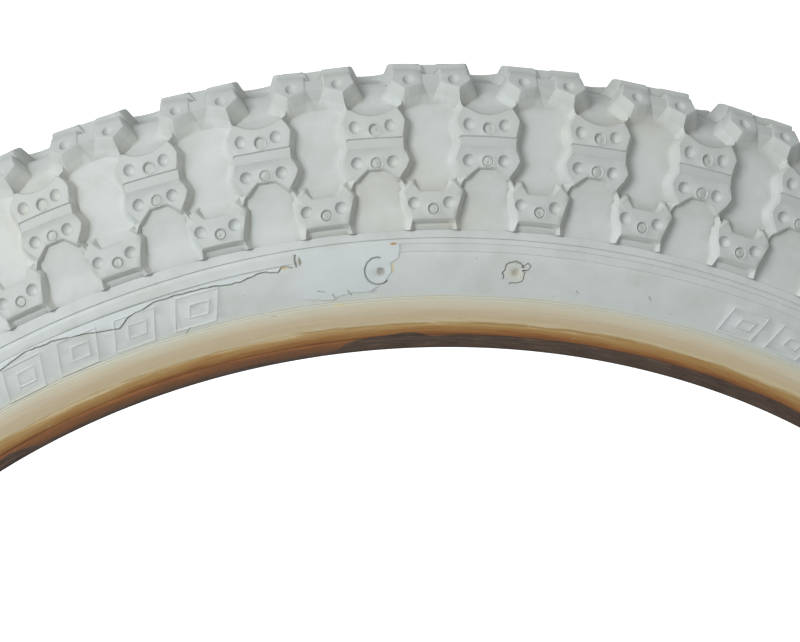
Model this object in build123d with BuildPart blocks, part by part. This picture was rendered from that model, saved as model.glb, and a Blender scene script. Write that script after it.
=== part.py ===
from build123d import *
from math import sin, cos, tan, pi, radians, degrees, atan2, acos, hypot
import os

# Wired-on (clincher) knobbly bicycle tyre, unmounted, in its as-moulded shape.
# It is a moulding: tread, side walls, two plies, bead cores and rim strips are
# cured together, so nothing on it moves against anything else.
# Frame: the tyre stands upright, its axis is +Y, +Z is up, the origin is the
# centre of the tyre on its mid-plane. "front" is the -Y side, "rear" the +Y side.

os.makedirs("parts", exist_ok=True)

# ---------------------------------------------------------------- dimensions
bead_seat_r = 152.5      # rim bead seat, 305 mm diameter
crown_base_r = 197.6     # tread surface between the knobs, on the mid-plane
crown_arc_r = 17.1       # section radius over the crown
shoulder_angle = 54.0    # degrees from lateral to the flat shoulder
shoulder_flat = 13.1     # straight part of the section under the outer knobs
side_arc_r = 34.3        # section radius of the side wall
tread_base_t = 1.6       # rubber under the knobs
side_t = 1.0             # side wall rubber
ply_t = 0.55             # one ply of rubberised cord fabric
chafer_t = 0.6           # rim strip beside the bead
core_r = 1.6             # bead core with its rubber coat
bead_wire_r = 0.6        # one strand of bead wire
bead_wire_pitch = 1.34   # distance between strands
tight_r = 12.0           # bend of the plies above the bead core
turnup_r_outer = 165.2   # top of the outer ply's turn-up
turnup_r_inner = 162.9   # top of the inner ply's turn-up
chafer_edge_r = 155.8    # visible edge of the rim strip on the outside
chafer_top_r = 160.5     # top of the rim strip on the inside
tread_edge_s = 32.2      # tread edge, along the section from the mid-plane
pitches = 54             # tread pattern repeats round the tyre

crown_knob_h = 4.0       # centre pair of knobs
inner_knob_h = 2.5       # waisted shoulder knob
outer_knob_h = 2.3       # edge knob
knob_root = 1.2          # how far a knob's block reaches into the tread base
knob_phase = 0.2         # centre pair and edge knobs, in pitches round the tyre

# half outlines of the knobs: (pitches from the knob's centre line, distance s along the section)
crown_pair = [(0.309, 0.85), (0.342, 3.85), (0.236, 5.9), (0.10, 5.3)]
shoulder_upper = [(0.12, 9.6), (0.209, 8.8), (0.281, 11.0), (0.248, 14.2)]
shoulder_lower = [(0.249, 15.85), (0.298, 18.45), (0.197, 22.1), (0.12, 20.6)]
edge_knob = [(0.12, 24.75), (0.1915, 23.0), (0.2715, 24.95), (0.198, 30.3)]

pitch = 2 * pi / pitches

# ---------------------------------------------------------------- the section
# y is the distance from the mid-plane, r the distance from the axis.
th1 = radians(shoulder_angle)
Cc = (0.0, crown_base_r - crown_arc_r)
p1 = (crown_arc_r * sin(th1), Cc[1] + crown_arc_r * cos(th1))
p2 = (p1[0] + shoulder_flat * cos(th1), p1[1] - shoulder_flat * sin(th1))
Cs = (p2[0] - side_arc_r * sin(th1), p2[1] - side_arc_r * cos(th1))
half_width = Cs[0] + side_arc_r
s1 = crown_arc_r * th1
s2 = s1 + shoulder_flat

core = (half_width - (core_r + 2 * ply_t + chafer_t), bead_seat_r + core_r + 2 * ply_t + chafer_t)


def on_arc(c, r, a):
    """Point of a section arc whose outward normal is at angle a from +r."""
    return (c[0] + r * sin(a), c[1] + r * cos(a))


def outer(s):
    """Point, normal angle at distance s along the tyre's outer surface."""
    if s <= s1:
        a = s / crown_arc_r
        return on_arc(Cc, crown_arc_r, a), a
    if s <= s2:
        d = s - s1
        return (p1[0] + d * cos(th1), p1[1] - d * sin(th1)), th1
    a = th1 + (s - s2) / side_arc_r
    return on_arc(Cs, side_arc_r, a), a


def tangent_angle(rc, rs):
    """Normal angle of the line that touches the crown arc of radius rc and the side arc of radius rs."""
    dx, dy = Cs[0] - Cc[0], Cs[1] - Cc[1]
    # n.(Cs-Cc) = rc - rs, n = (sin a, cos a)
    d = hypot(dx, dy)
    return atan2(dx, dy) - acos((rc - rs) / d) + 2 * pi


def ply_points(d):
    """The plies' path, at distance d inside the rubber: crown, shoulder, side, round the bead core and up again.
    Returns a list of segments: ("arc", start, middle, end) or ("line", start, end)."""
    rc = crown_arc_r - tread_base_t - d
    rs = side_arc_r - side_t - d
    at = tangent_angle(rc, rs)
    segs = []
    segs.append(("arc", on_arc(Cc, rc, 0), on_arc(Cc, rc, at / 2), on_arc(Cc, rc, at)))
    segs.append(("line", on_arc(Cc, rc, at), on_arc(Cs, rs, at)))
    # the side arc hands over to a tighter bend, which aims at the inside of the bead core
    am = radians(68.0)
    Ct = (Cs[0] + (side_arc_r - side_t - tight_r) * sin(am), Cs[1] + (side_arc_r - side_t - tight_r) * cos(am))
    rt = tight_r - d
    segs.append(("arc", on_arc(Cs, rs, at), on_arc(Cs, rs, (at + am) / 2), on_arc(Cs, rs, am)))
    # inner tangent between the bend (radius rt, turning inwards) and the wrap round the core (radius core_r + d, turning outwards)
    rw = core_r + d
    dx, dy = core[0] - Ct[0], core[1] - Ct[1]
    dd = hypot(dx, dy)
    # n.(core-Ct) = rt + rw
    base = atan2(dx, dy)
    al = base - acos((rt + rw) / dd)
    a_end = on_arc(Ct, rt, al)
    b_start = (core[0] - rw * sin(al), core[1] - rw * cos(al))
    segs.append(("arc", on_arc(Ct, rt, am), on_arc(Ct, rt, (am + al) / 2), a_end))
    segs.append(("line", a_end, b_start))
    # wrap: from the inside, under the core, to the outside
    a_last = radians(86.0)
    mid = (al + pi + a_last) / 2
    w = lambda a: (core[0] + rw * sin(a), core[1] + rw * cos(a))
    segs.append(("arc", b_start, w(mid), w(a_last)))
    return segs, w(a_last), a_last


def ply_face(d0, d1, top_r):
    """Closed section of one ply between depths d0 and d1, as a face on Plane.YZ for y > 0."""
    sa, ea, aa = ply_points(d0)
    sb, eb, ab = ply_points(d1)
    t = (-cos(aa), sin(aa))            # up along the turn-up
    la = (top_r - ea[1]) / t[1]
    lb = (top_r - eb[1]) / t[1]
    with BuildSketch(Plane.YZ) as sk:
        with BuildLine():
            for seg in sa:
                if seg[0] == "arc":
                    ThreePointArc(*seg[1:])
                else:
                    Line(*seg[1:])
            ta = (ea[0] + la * t[0], ea[1] + la * t[1])
            tb = (eb[0] + lb * t[0], eb[1] + lb * t[1])
            Line(ea, ta)
            Line(ta, tb)
            Line(tb, eb)
            for seg in reversed(sb):
                if seg[0] == "arc":
                    ThreePointArc(seg[3], seg[2], seg[1])
                else:
                    Line(seg[2], seg[1])
            Line(sb[0][1], sa[0][1])
        make_face()
    return sk.sketch_local


outer_ply_half = ply_face(0.0, ply_t, turnup_r_outer)
inner_ply_half = ply_face(ply_t, 2 * ply_t, turnup_r_inner)

# chafer: flat bead base with a rounded heel and toe, wrapped round the plies
heel_r = 2.2
toe_r = 1.5
inner_leg = ply_points(2 * ply_t)[0][-2]      # line down the inside of the core, on the inner ply's surface


def leg_point(r, out):
    """Point at radius r on the cavity side of the inner ply, pushed out into the cavity by out."""
    (ax, ay), (bx, by) = inner_leg[1], inner_leg[2]
    k = (r - by) / (ay - by)
    n = hypot(ax - bx, ay - by)
    ny, nr = -(ay - by) / n, (ax - bx) / n
    return (bx + k * (ax - bx) + ny * out, r + nr * out)


toe_y = min(core[0] - (core_r + 2 * ply_t + chafer_t), leg_point(core[1], chafer_t)[0])
wrap_r = core_r + 2 * ply_t

def bend(c, r, a0, a1, n, outside=False):
    """Points on an arc round c in n equal flats, angles from +y towards +r; outside puts the corners outside the arc."""
    if not outside:
        return [(c[0] + r * cos(a0 + (a1 - a0) * k / n), c[1] + r * sin(a0 + (a1 - a0) * k / n)) for k in range(n + 1)]
    rc = r / cos((a1 - a0) / n / 2)
    mid = [(c[0] + rc * cos(a0 + (a1 - a0) * (k + 0.5) / n), c[1] + rc * sin(a0 + (a1 - a0) * (k + 0.5) / n)) for k in range(n)]
    return [(c[0] + r * cos(a0), c[1] + r * sin(a0))] + mid + [(c[0] + r * cos(a1), c[1] + r * sin(a1))]


with BuildSketch(Plane.YZ) as chafer_sk:
    with BuildLine():
        t0 = leg_point(chafer_top_r, 0.0)
        t1 = leg_point(chafer_top_r - 0.4, chafer_t)
        t2 = leg_point(core[1] + 0.6, chafer_t)
        wrap_start = inner_leg[2]                     # where the inner ply turns in under the core
        start_a = atan2(wrap_start[1] - core[1], wrap_start[0] - core[0]) % (2 * pi)
        # the outside: down the side, round the heel, along the seat, round the toe, up the cavity side;
        # the inside: under the core round the wrapped plies, back to the outer edge
        Polyline(
            (core[0] + wrap_r, chafer_edge_r),
            (half_width, chafer_edge_r),
            *bend((half_width - heel_r, bead_seat_r + heel_r), heel_r, 0.0, -pi / 2, 6),
            *bend((toe_y + toe_r, bead_seat_r + toe_r), toe_r, -pi / 2, -pi, 4),
            t2, t1, t0,
            *bend(core, wrap_r, start_a, 2 * pi, 9, outside=True)[:-1],
            (core[0] + wrap_r, core[1]),
            close=True,
        )
    make_face()

with BuildSketch(Plane.YZ) as coat_sk:
    with Locations(core):
        Circle(core_r)
    with Locations(core):
        with PolarLocations(bead_wire_pitch / 3 ** 0.5, 3, 90):
            Circle(bead_wire_r, mode=Mode.SUBTRACT)
with BuildSketch(Plane.YZ) as wire_sk:
    with Locations(core):
        with PolarLocations(bead_wire_pitch / 3 ** 0.5, 3, 90):
            Circle(bead_wire_r)


# bead filler: the rubber wedge above the core, between the two legs of the plies
with BuildSketch(Plane.YZ) as filler_sk:
    with BuildLine():
        f_in = ply_points(ply_t / 2)[0][-2]
        Polyline(
            core, (core[0] + core_r + ply_t / 2, core[1]),
            (core[0] + core_r + ply_t / 2 - (turnup_r_inner - 1.5 - core[1]) / tan(radians(86.0)), turnup_r_inner - 1.5),
            (f_in[1][0] - 0.2, turnup_r_inner - 1.5), (f_in[2][0], f_in[2][1]), core,
        )
    make_face()
    with Locations(core):
        Circle(core_r, mode=Mode.SUBTRACT)
    add(outer_ply_half, mode=Mode.SUBTRACT)
    add(inner_ply_half, mode=Mode.SUBTRACT)

# side wall rubber: from the tread edge down to the rim strip, over the plies and their turn-ups
edge_pt, edge_a = outer(tread_edge_s)
edge_in = (edge_pt[0] - 4 * sin(edge_a), edge_pt[1] - 4 * cos(edge_a))
s_bend = ply_points(ply_t / 2)[0]
with BuildSketch(Plane.YZ) as side_sk:
    with BuildLine():
        low = on_arc(Cs, side_arc_r, pi / 2)
        RadiusArc(edge_pt, low, side_arc_r)
        Polyline(low, (half_width, chafer_edge_r), (core[0], chafer_edge_r), s_bend[4][2], s_bend[4][1])
        ThreePointArc(*s_bend[3][3:0:-1])
        rs_mid = side_arc_r - side_t - ply_t / 2
        top_mid = on_arc(Cs, rs_mid, edge_a)
        ThreePointArc(s_bend[3][1], on_arc(Cs, rs_mid, (edge_a + radians(68)) / 2), top_mid)
        Line(top_mid, edge_pt)
    make_face()
    add(outer_ply_half, mode=Mode.SUBTRACT)
    add(inner_ply_half, mode=Mode.SUBTRACT)
    add(filler_sk.sketch_local, mode=Mode.SUBTRACT)
    with Locations(core):
        Circle(core_r + 2 * ply_t, mode=Mode.SUBTRACT)
    add(chafer_sk.sketch_local, mode=Mode.SUBTRACT)

# tread band: full section, both sides of the mid-plane, over the outer ply
with BuildSketch(Plane.YZ) as band_sk:
    with BuildLine():
        # the moulded base is turned as a few straight lands, one under each row of knobs
        lands = [outer(v)[0] for v in (2.5, 6.4, 9.6, 12.8, s1, s2, tread_edge_s)]
        Polyline((0, lands[0][1]), *lands)
        Line(edge_pt, top_mid)
        sg = ply_points(ply_t / 2)[0]
        ThreePointArc(top_mid, on_arc(Cs, rs_mid, (edge_a + tangent_angle(crown_arc_r - tread_base_t - ply_t / 2, rs_mid)) / 2), sg[1][2])
        Line(sg[1][2], sg[1][1])
        ThreePointArc(*sg[0][3:0:-1])
        Line(sg[0][1], (0, lands[0][1]))
    make_face()
    add(outer_ply_half, mode=Mode.SUBTRACT)
    mirror(about=Plane.YZ)



def knob_plane(phase, s, side):
    """Plane touching the tread at distance s from the mid-plane; its x runs round the tyre, its y back to the mid-plane."""
    (y, r), a = outer(s)
    ph = phase * pitch
    return Plane(
        origin=(r * sin(ph), side * y, r * cos(ph)),
        x_dir=(cos(ph), 0, -sin(ph)),
        z_dir=(cos(a) * sin(ph), side * sin(a), cos(a) * cos(ph)),
    )


def knob_points(half, s_mid, h, side):
    """Outline of a knob in its tangent plane, from its half outline."""
    def at(u, s):
        (y, r), a = outer(s)
        return ((r + h * cos(a)) * sin(u * pitch), side * (s - s_mid))
    right = [at(u, s) for u, s in half]
    left = [at(-u, s) for u, s in reversed(half) if u > 0]
    return right + left


def ring(half_sketch, side):
    """Section half placed on the section plane, on one side of the tyre."""
    return half_sketch if side > 0 else half_sketch.mirror(Plane.YZ)


# ---------------------------------------------------------------- one pitch of the tread pattern
with BuildPart() as knobs:
    for side in (-1, 1):
        for half, phase, s_mid, h in (
            (crown_pair, knob_phase, 3.4, crown_knob_h),
            (shoulder_upper, knob_phase + 0.5, 12.0, inner_knob_h),
            (shoulder_lower, knob_phase + 0.5, 18.6, inner_knob_h),
            (edge_knob, knob_phase, 27.0, outer_knob_h),
        ):
            with BuildSketch(knob_plane(phase, s_mid, side).offset(-knob_root)):
                with BuildLine():
                    Polyline(*knob_points(half, s_mid, h, side), close=True)
                make_face()
            extrude(amount=h + knob_root)

# ---------------------------------------------------------------- pieces
with BuildPart() as tread:
    with BuildSketch(Plane.YZ):
        add(band_sk.sketch_local)
    revolve(axis=Axis.Y)
    add([knobs.part.rotate(Axis.Y, 360 / pitches * k) for k in range(pitches)], clean=False)
tread.part.label = "tread"
export_step(tread.part, "parts/tread.step")

with BuildPart() as outer_ply:
    with BuildSketch(Plane.YZ):
        add(outer_ply_half)
        mirror(about=Plane.YZ)
    revolve(axis=Axis.Y)
outer_ply.part.label = "outer_ply"
export_step(outer_ply.part, "parts/outer_ply.step")

with BuildPart() as inner_ply:
    with BuildSketch(Plane.YZ):
        add(inner_ply_half)
        mirror(about=Plane.YZ)
    revolve(axis=Axis.Y)
inner_ply.part.label = "inner_ply"
export_step(inner_ply.part, "parts/inner_ply.step")

with BuildPart() as sidewall_front:
    with BuildSketch(Plane.YZ):
        add(ring(side_sk.sketch_local, -1))
    revolve(axis=Axis.Y)
sidewall_front.part.label = "sidewall_front"
export_step(sidewall_front.part, "parts/sidewall_front.step")

with BuildPart() as sidewall_rear:
    with BuildSketch(Plane.YZ):
        add(ring(side_sk.sketch_local, 1))
    revolve(axis=Axis.Y)
sidewall_rear.part.label = "sidewall_rear"
export_step(sidewall_rear.part, "parts/sidewall_rear.step")

with BuildPart() as bead_filler_front:
    with BuildSketch(Plane.YZ):
        add(ring(filler_sk.sketch_local, -1))
    revolve(axis=Axis.Y)
bead_filler_front.part.label = "bead_filler_front"
export_step(bead_filler_front.part, "parts/bead_filler_front.step")

with BuildPart() as bead_filler_rear:
    with BuildSketch(Plane.YZ):
        add(ring(filler_sk.sketch_local, 1))
    revolve(axis=Axis.Y)
bead_filler_rear.part.label = "bead_filler_rear"
export_step(bead_filler_rear.part, "parts/bead_filler_rear.step")

with BuildPart() as bead_coat_front:
    with BuildSketch(Plane.YZ):
        add(ring(coat_sk.sketch_local, -1))
    revolve(axis=Axis.Y)
bead_coat_front.part.label = "bead_coat_front"
export_step(bead_coat_front.part, "parts/bead_coat_front.step")

with BuildPart() as bead_coat_rear:
    with BuildSketch(Plane.YZ):
        add(ring(coat_sk.sketch_local, 1))
    revolve(axis=Axis.Y)
bead_coat_rear.part.label = "bead_coat_rear"
export_step(bead_coat_rear.part, "parts/bead_coat_rear.step")

with BuildPart() as bead_wires_front:
    with BuildSketch(Plane.YZ):
        add(ring(wire_sk.sketch_local, -1))
    revolve(axis=Axis.Y)
bead_wires_front.part.label = "bead_wires_front"
export_step(bead_wires_front.part, "parts/bead_wires_front.step")

with BuildPart() as bead_wires_rear:
    with BuildSketch(Plane.YZ):
        add(ring(wire_sk.sketch_local, 1))
    revolve(axis=Axis.Y)
bead_wires_rear.part.label = "bead_wires_rear"
export_step(bead_wires_rear.part, "parts/bead_wires_rear.step")

with BuildPart() as chafer_front:
    with BuildSketch(Plane.YZ):
        add(ring(chafer_sk.sketch_local, -1))
    revolve(axis=Axis.Y)
chafer_front.part.label = "chafer_front"
export_step(chafer_front.part, "parts/chafer_front.step")

with BuildPart() as chafer_rear:
    with BuildSketch(Plane.YZ):
        add(ring(chafer_sk.sketch_local, 1))
    revolve(axis=Axis.Y)
chafer_rear.part.label = "chafer_rear"
export_step(chafer_rear.part, "parts/chafer_rear.step")

print("half width %.2f, bead core at %.2f, %.2f, toe %.2f" % (half_width, *core, toe_y))
print("tread solids %d, volume %.0f mm3" % (len(tread.part.solids()), tread.part.volume))
print("rim strip section %.2f mm2, side wall %.2f mm2" % (chafer_sk.sketch.area, side_sk.sketch.area))
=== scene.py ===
import math
import bpy
import numpy as np
from mathutils import Vector, Matrix
from mathutils.geometry import delaunay_2d_cdt


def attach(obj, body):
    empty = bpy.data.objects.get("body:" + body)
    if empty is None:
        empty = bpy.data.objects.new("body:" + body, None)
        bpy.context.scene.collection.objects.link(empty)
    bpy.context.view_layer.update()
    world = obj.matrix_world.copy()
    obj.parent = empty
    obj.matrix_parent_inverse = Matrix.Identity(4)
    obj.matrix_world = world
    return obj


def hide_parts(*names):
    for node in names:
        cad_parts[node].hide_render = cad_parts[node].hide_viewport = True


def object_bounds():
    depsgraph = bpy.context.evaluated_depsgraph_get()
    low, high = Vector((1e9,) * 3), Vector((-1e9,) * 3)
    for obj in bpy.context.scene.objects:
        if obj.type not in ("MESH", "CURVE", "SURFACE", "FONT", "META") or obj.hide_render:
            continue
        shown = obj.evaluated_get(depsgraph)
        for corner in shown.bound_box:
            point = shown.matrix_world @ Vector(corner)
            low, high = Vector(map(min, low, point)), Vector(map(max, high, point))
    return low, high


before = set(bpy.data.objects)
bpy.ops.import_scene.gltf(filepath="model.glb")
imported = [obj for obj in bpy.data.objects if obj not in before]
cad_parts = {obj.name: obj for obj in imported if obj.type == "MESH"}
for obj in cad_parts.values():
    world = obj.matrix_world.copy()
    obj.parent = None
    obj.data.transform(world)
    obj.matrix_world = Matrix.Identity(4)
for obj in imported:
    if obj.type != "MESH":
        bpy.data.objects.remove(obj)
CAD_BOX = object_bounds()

MM = 0.001
rng = np.random.RandomState(47)

# ------------------------------------------------------------------ section
# The outer surface, as a function of s, the distance along the section from
# the mid-plane, in mm. y is across the tyre, r from its axis, a the angle of
# the normal from the radial direction.
RC, RS, FLAT = 17.1, 34.3, 13.1
TH1 = math.radians(54.0)
R_CROWN = 197.6
S1 = RC * TH1
S2 = S1 + FLAT
P1 = (RC * math.sin(TH1), R_CROWN - RC + RC * math.cos(TH1))
P2 = (P1[0] + FLAT * math.cos(TH1), P1[1] - FLAT * math.sin(TH1))
CS = (P2[0] - RS * math.sin(TH1), P2[1] - RS * math.cos(TH1))
HALF_W = CS[0] + RS
S3 = S2 + RS * (math.pi / 2 - TH1)
S_EDGE = 32.2                    # tread edge
R_SEAT = 152.5
R_STRIP = 155.8                  # outer edge of the rim strip
S_STRIP = S3 + CS[1] - R_STRIP
SAG = 1.25                       # mm, rear half of the crown
PITCHES = 54
DEL = 2 * math.pi / PITCHES


def section(s):
    s = np.asarray(s, float)
    a = np.where(s <= S1, s / RC, np.where(s <= S2, TH1, np.minimum(TH1 + (s - S2) / RS, math.pi / 2)))
    y = np.where(s <= S1, RC * np.sin(s / RC),
                 np.where(s <= S2, P1[0] + (s - S1) * math.cos(TH1), CS[0] + RS * np.sin(a)))
    r = np.where(s <= S1, R_CROWN - RC + RC * np.cos(s / RC),
                 np.where(s <= S2, P1[1] - (s - S1) * math.sin(TH1),
                          np.where(s <= S3, CS[1] + RS * np.cos(a), CS[1] - (s - S3))))
    return y, r, a


def place(phi, s, h, side):
    """Points in mm at angle phi, section distance s, height h above the surface."""
    y, r, a = section(np.asarray(s, float) + 0.45 * np.tanh(np.asarray(s, float) / 8.0))
    rr = r + h * np.cos(a)
    yy = y + h * np.sin(a)
    if side > 0:
        # the rear half of this worn tyre's crown has flattened a little
        t = np.clip(np.asarray(s, float) / 7.0, 0, 1)
        back = np.clip((S_EDGE - np.asarray(s, float)) / 12.0, 0, 1)
        rr = rr - SAG * t * t * (3 - 2 * t) * back * back * (3 - 2 * back) * np.clip(1 + np.asarray(h, float) / 1.5, 0, 1.35)
    rr, yy = np.minimum(rr, 201.78), np.clip(yy, -28.06, 28.06)
    return np.stack([rr * np.sin(phi), side * yy, rr * np.cos(phi)], axis=-1)


# ------------------------------------------------------------------ tread pattern
K = 1.008


def smin(a, b, k):
    return np.minimum(a, b) - np.maximum(k - np.abs(a - b), 0.0) ** 2 / (4 * k)


def smax(a, b, k):
    return -smin(-a, -b, k)


def convex(pts):
    """Mitred distance to a convex polygon, given in order round it."""
    pts = [np.array(p, float) for p in pts]
    c = sum(pts) / len(pts)
    lines = []
    for i in range(len(pts)):
        p, q = pts[i], pts[(i + 1) % len(pts)]
        d = q - p
        n = np.array([d[1], -d[0]]) / np.hypot(*d)
        if n @ (p - c) < 0:
            n = -n
        lines.append((n[0], n[1], float(n @ p)))

    def f(x, s):
        out = None
        for nx, ns, k in lines:
            v = nx * x + ns * s - k
            out = v if out is None else np.maximum(out, v)
        return out
    return f


def sym(half):
    return [(x, s) for x, s in half] + [(-x, s) for x, s in reversed(half) if x > 1e-9]


class Knob:
    """A block with a flat top, tangent to the tread at (u0, s_mid), of height H, with drafted walls."""

    def __init__(self, u0, s_mid, H, wall, shape, rho):
        self.u0, self.s_mid, self.H, self.wall, self.shape, self.rho = u0, s_mid, H, wall, shape, rho

    def local(self, u, s):
        x = ((u - self.u0 + 0.5) % 1.0 - 0.5) * DEL * self.rho
        return x, s

    def d(self, u, s):
        return self.shape(*self.local(u, s))

    def top(self, u, s):
        ph = ((u - self.u0 + 0.5) % 1.0 - 0.5) * DEL
        ym, rm, am = section(self.s_mid)
        y, r, a = section(s)
        nm = np.array([math.sin(am), math.cos(am)])
        # plane through the raised centre; y, radial, with the pitch's own turn in phi
        px, py, pr = r * np.sin(ph), y, r * np.cos(ph)
        nx, ny, nr = np.cos(a) * np.sin(ph), np.sin(a), np.cos(a) * np.cos(ph)
        dist = nm[0] * (py - ym) + nm[1] * (pr - rm)
        return (self.H - dist) / np.maximum(nm[0] * ny + nm[1] * nr, 0.3)

    def height(self, u, s):
        d = self.d(u, s)
        H = self.top(u, s)
        w = H * (1 - d / self.wall)
        return smin(H, w, 0.22)


RHO_C, RHO_IU, RHO_IL, RHO_S = 200.5, 196.0, 189.5, 182.5


def P(rho, pts):
    """(u, s) outline points to local mm."""
    return [(u * DEL * rho, s * K) for u, s in pts]


U_OFF = 0.05                     # the tile starts this far before phi = 0
U_C, U_S, U_I = 0.219 + U_OFF, 0.198 + U_OFF, 0.698 + U_OFF

crown_r = convex(P(RHO_C, [(0.081, 0.95), (0.309, 0.8), (0.344, 3.85), (0.236, 5.87), (0.078, 4.4)]))


def crown_l(x, s):
    return crown_r(-x, s)


crown_bridge = convex(P(RHO_C, [(-0.16, 0.85), (0.16, 0.85), (0.16, 4.15), (-0.16, 4.15)]))

iu_hull = convex(P(RHO_IU, sym([(0.209, 8.7), (0.253, 9.75), (0.281, 10.95), (0.268, 12.4), (0.2385, 14.9)])))
il_hull = convex(P(RHO_IL, sym([(0.2395, 14.75), (0.268, 16.4), (0.298, 18.3), (0.268, 19.85), (0.197, 21.95)])))
waist = convex(P(RHO_IU, sym([(0.247, 13.5), (0.247, 15.9)])))
s_hull = convex(P(RHO_S, sym([(0.1915, 22.75), (0.243, 23.9), (0.2725, 24.8), (0.237, 27.5), (0.197, 30.1)])))
il_notch = convex(P(RHO_IL, [(-0.085, 19.98), (0.085, 19.98), (0.172, 21.6), (0.32, 24.2), (-0.32, 24.2), (-0.172, 21.6)]))
s_notch = convex(P(RHO_S, [(0.118, 24.6), (-0.118, 24.6), (-0.176, 22.9), (-0.22, 20.2), (0.22, 20.2), (0.176, 22.9)]))


def iu(x, s):
    hollow = 8.1 - np.hypot(x, s - (9.88 * K - 8.1))
    return np.maximum(np.minimum(iu_hull(x, s), waist(x, s)), hollow)


def il(x, s):
    return np.maximum(np.minimum(il_hull(x, s), waist(x, s)), -il_notch(x, s))


def sk(x, s):
    return np.maximum(s_hull(x, s), -s_notch(x, s))


KNOBS = {
    "cl": Knob(U_C, 3.3, 4.0, 1.6, crown_l, RHO_C),
    "cr": Knob(U_C, 3.3, 4.0, 1.6, crown_r, RHO_C),
    "cb": Knob(U_C, 3.3, 2.9, 2.3, crown_bridge, RHO_C),
    "iu": Knob(U_I, 12.0, 2.5, 1.0, iu, RHO_IU),
    "il": Knob(U_I, 18.5, 2.5, 1.0, il, RHO_IL),
    "s": Knob(U_S, 27.0, 2.3, 0.95, sk, RHO_S),
}


class Ridge:
    """A roof-shaped rib from a to b (u, s), crest height ha to hb."""

    def __init__(self, a, b, ha, hb, half, cut=False):
        self.a, self.b, self.ha, self.hb, self.half, self.cut = a, b, ha, hb, half, cut
        self.rho = float(section((a[1] + b[1]) / 2)[1]) + 1.5

    def t_d(self, u, s):
        um = (self.a[0] + self.b[0]) / 2
        x = ((u - um + 0.5) % 1.0 - 0.5) * DEL * self.rho
        ax, bx = (self.a[0] - um) * DEL * self.rho, (self.b[0] - um) * DEL * self.rho
        ex, es = bx - ax, self.b[1] - self.a[1]
        L = math.hypot(ex, es)
        t = ((x - ax) * ex + (s - self.a[1]) * es) / (L * L)
        n = np.abs(((x - ax) * es - (s - self.a[1]) * ex) / L)
        over = np.maximum(np.maximum(-t, t - 1.0), 0) * L
        return np.clip(t, 0, 1), np.maximum(n, 0) + over * 1.0

    def d(self, u, s):
        """Distance outside the rib's foot."""
        t, n = self.t_d(u, s)
        return n - self.half

    def height(self, u, s):
        t, n = self.t_d(u, s)
        h = (self.ha + (self.hb - self.ha) * t) * (1 - n / self.half)
        return h


RIDGES = []
for sg in (-1, 1):
    # crown knob's lower corner to the shoulder knob's top corner
    RIDGES.append(Ridge(((U_C + sg * 0.238) % 1.0, 5.7 * K), ((U_I - sg * 0.215) % 1.0, 8.95 * K), 2.3, 2.1, 1.0))
    # shoulder knob's lower corner to the edge knob's ear
    RIDGES.append(Ridge(((U_I - sg * 0.203) % 1.0, 21.6 * K), ((U_S + sg * 0.232) % 1.0, 24.2 * K), 2.1, 2.0, 0.95))
    # edge knob's bottom corner to the tread edge
    RIDGES.append(Ridge(((U_S + sg * 0.200) % 1.0, 29.9 * K), ((U_S + sg * 0.226) % 1.0, 32.05 * K), 2.1, 0.9, 1.12))
for r_ in RIDGES:
    # keep both ends on the same turn
    if r_.b[0] - r_.a[0] > 0.5:
        r_.b = (r_.b[0] - 1.0, r_.b[1])
    if r_.a[0] - r_.b[0] > 0.5:
        r_.a = (r_.a[0] - 1.0, r_.a[1])

# dents: (knob, pitch position, offset, s, radius, depth, kind); a mark is the round scar of a mould pin
DENTS = []
for sg in (-1, 1):
    DENTS.append(("c", U_C, sg * 0.196, 3.62, 1.15, 1.0, "dent"))
    DENTS.append(("iu", U_I - 0.012, sg * 0.156, 11.85, 1.2, 1.1, "dent"))
    DENTS.append(("il", U_I - 0.012, sg * 0.160, 18.55, 1.25, 1.15, "dent"))
    DENTS.append(("s", U_S - 0.018, sg * 0.160, 27.0, 1.25, 1.15, "dent"))
DENTS.append(("iu", U_I, 0.0, 12.5, 1.12, 0.62, "deep"))
DENTS.append(("il", U_I, 0.0, 18.75, 1.12, 0.30, "ring"))
DENTS.append(("s", U_S, 0.0, 28.2, 1.10, 0.46, "ring"))
RHO_OF = {"c": RHO_C, "iu": RHO_IU, "il": RHO_IL, "s": RHO_S}


def dent_drop(u, s):
    out = np.zeros(np.broadcast(u, s).shape)
    for key, u0, du, sc, R, dep, kind in DENTS:
        x = ((u - u0 - du + 0.5) % 1.0 - 0.5) * DEL * RHO_OF[key]
        y = s - sc * K
        q = np.hypot(x, y) / R
        if kind == "dent":
            v = dep * np.clip(1 - q * q, 0, 1) ** 0.72
        elif kind == "deep":
            v = dep * np.clip((1 - q) / 0.14, 0, 1) - 0.12 * np.clip(1 - np.abs(q - 1.13) / 0.14, 0, 1) \
                - 0.30 * np.clip(1 - np.hypot(x - 0.25, y + 0.1) / 0.42, 0, 1)
        else:
            v = dep * np.clip(1 - np.abs(q - 0.88) / 0.14, 0, 1) - 0.10 * np.clip(1 - np.abs(q - 1.13) / 0.14, 0, 1) \
                + 0.35 * dep * np.clip((0.88 - q) / 0.1, 0, 1) - 0.30 * np.clip(1 - np.hypot(x + 0.3, y - 0.15) / 0.38, 0, 1)
        out = out + v
    return out


def in_mark(u, s):
    """1 inside the round scars, where the rubber is torn a little differently on every block."""
    out = np.zeros(np.broadcast(u, s).shape)
    for key, u0, du, sc, R, dep, kind in DENTS:
        if kind != "dent":
            x = ((u - u0 - du + 0.5) % 1.0 - 0.5) * DEL * RHO_OF[key]
            out = np.maximum(out, np.clip((0.9 - np.hypot(x, s - sc * K) / R) / 0.2, 0, 1))
    return out


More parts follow.
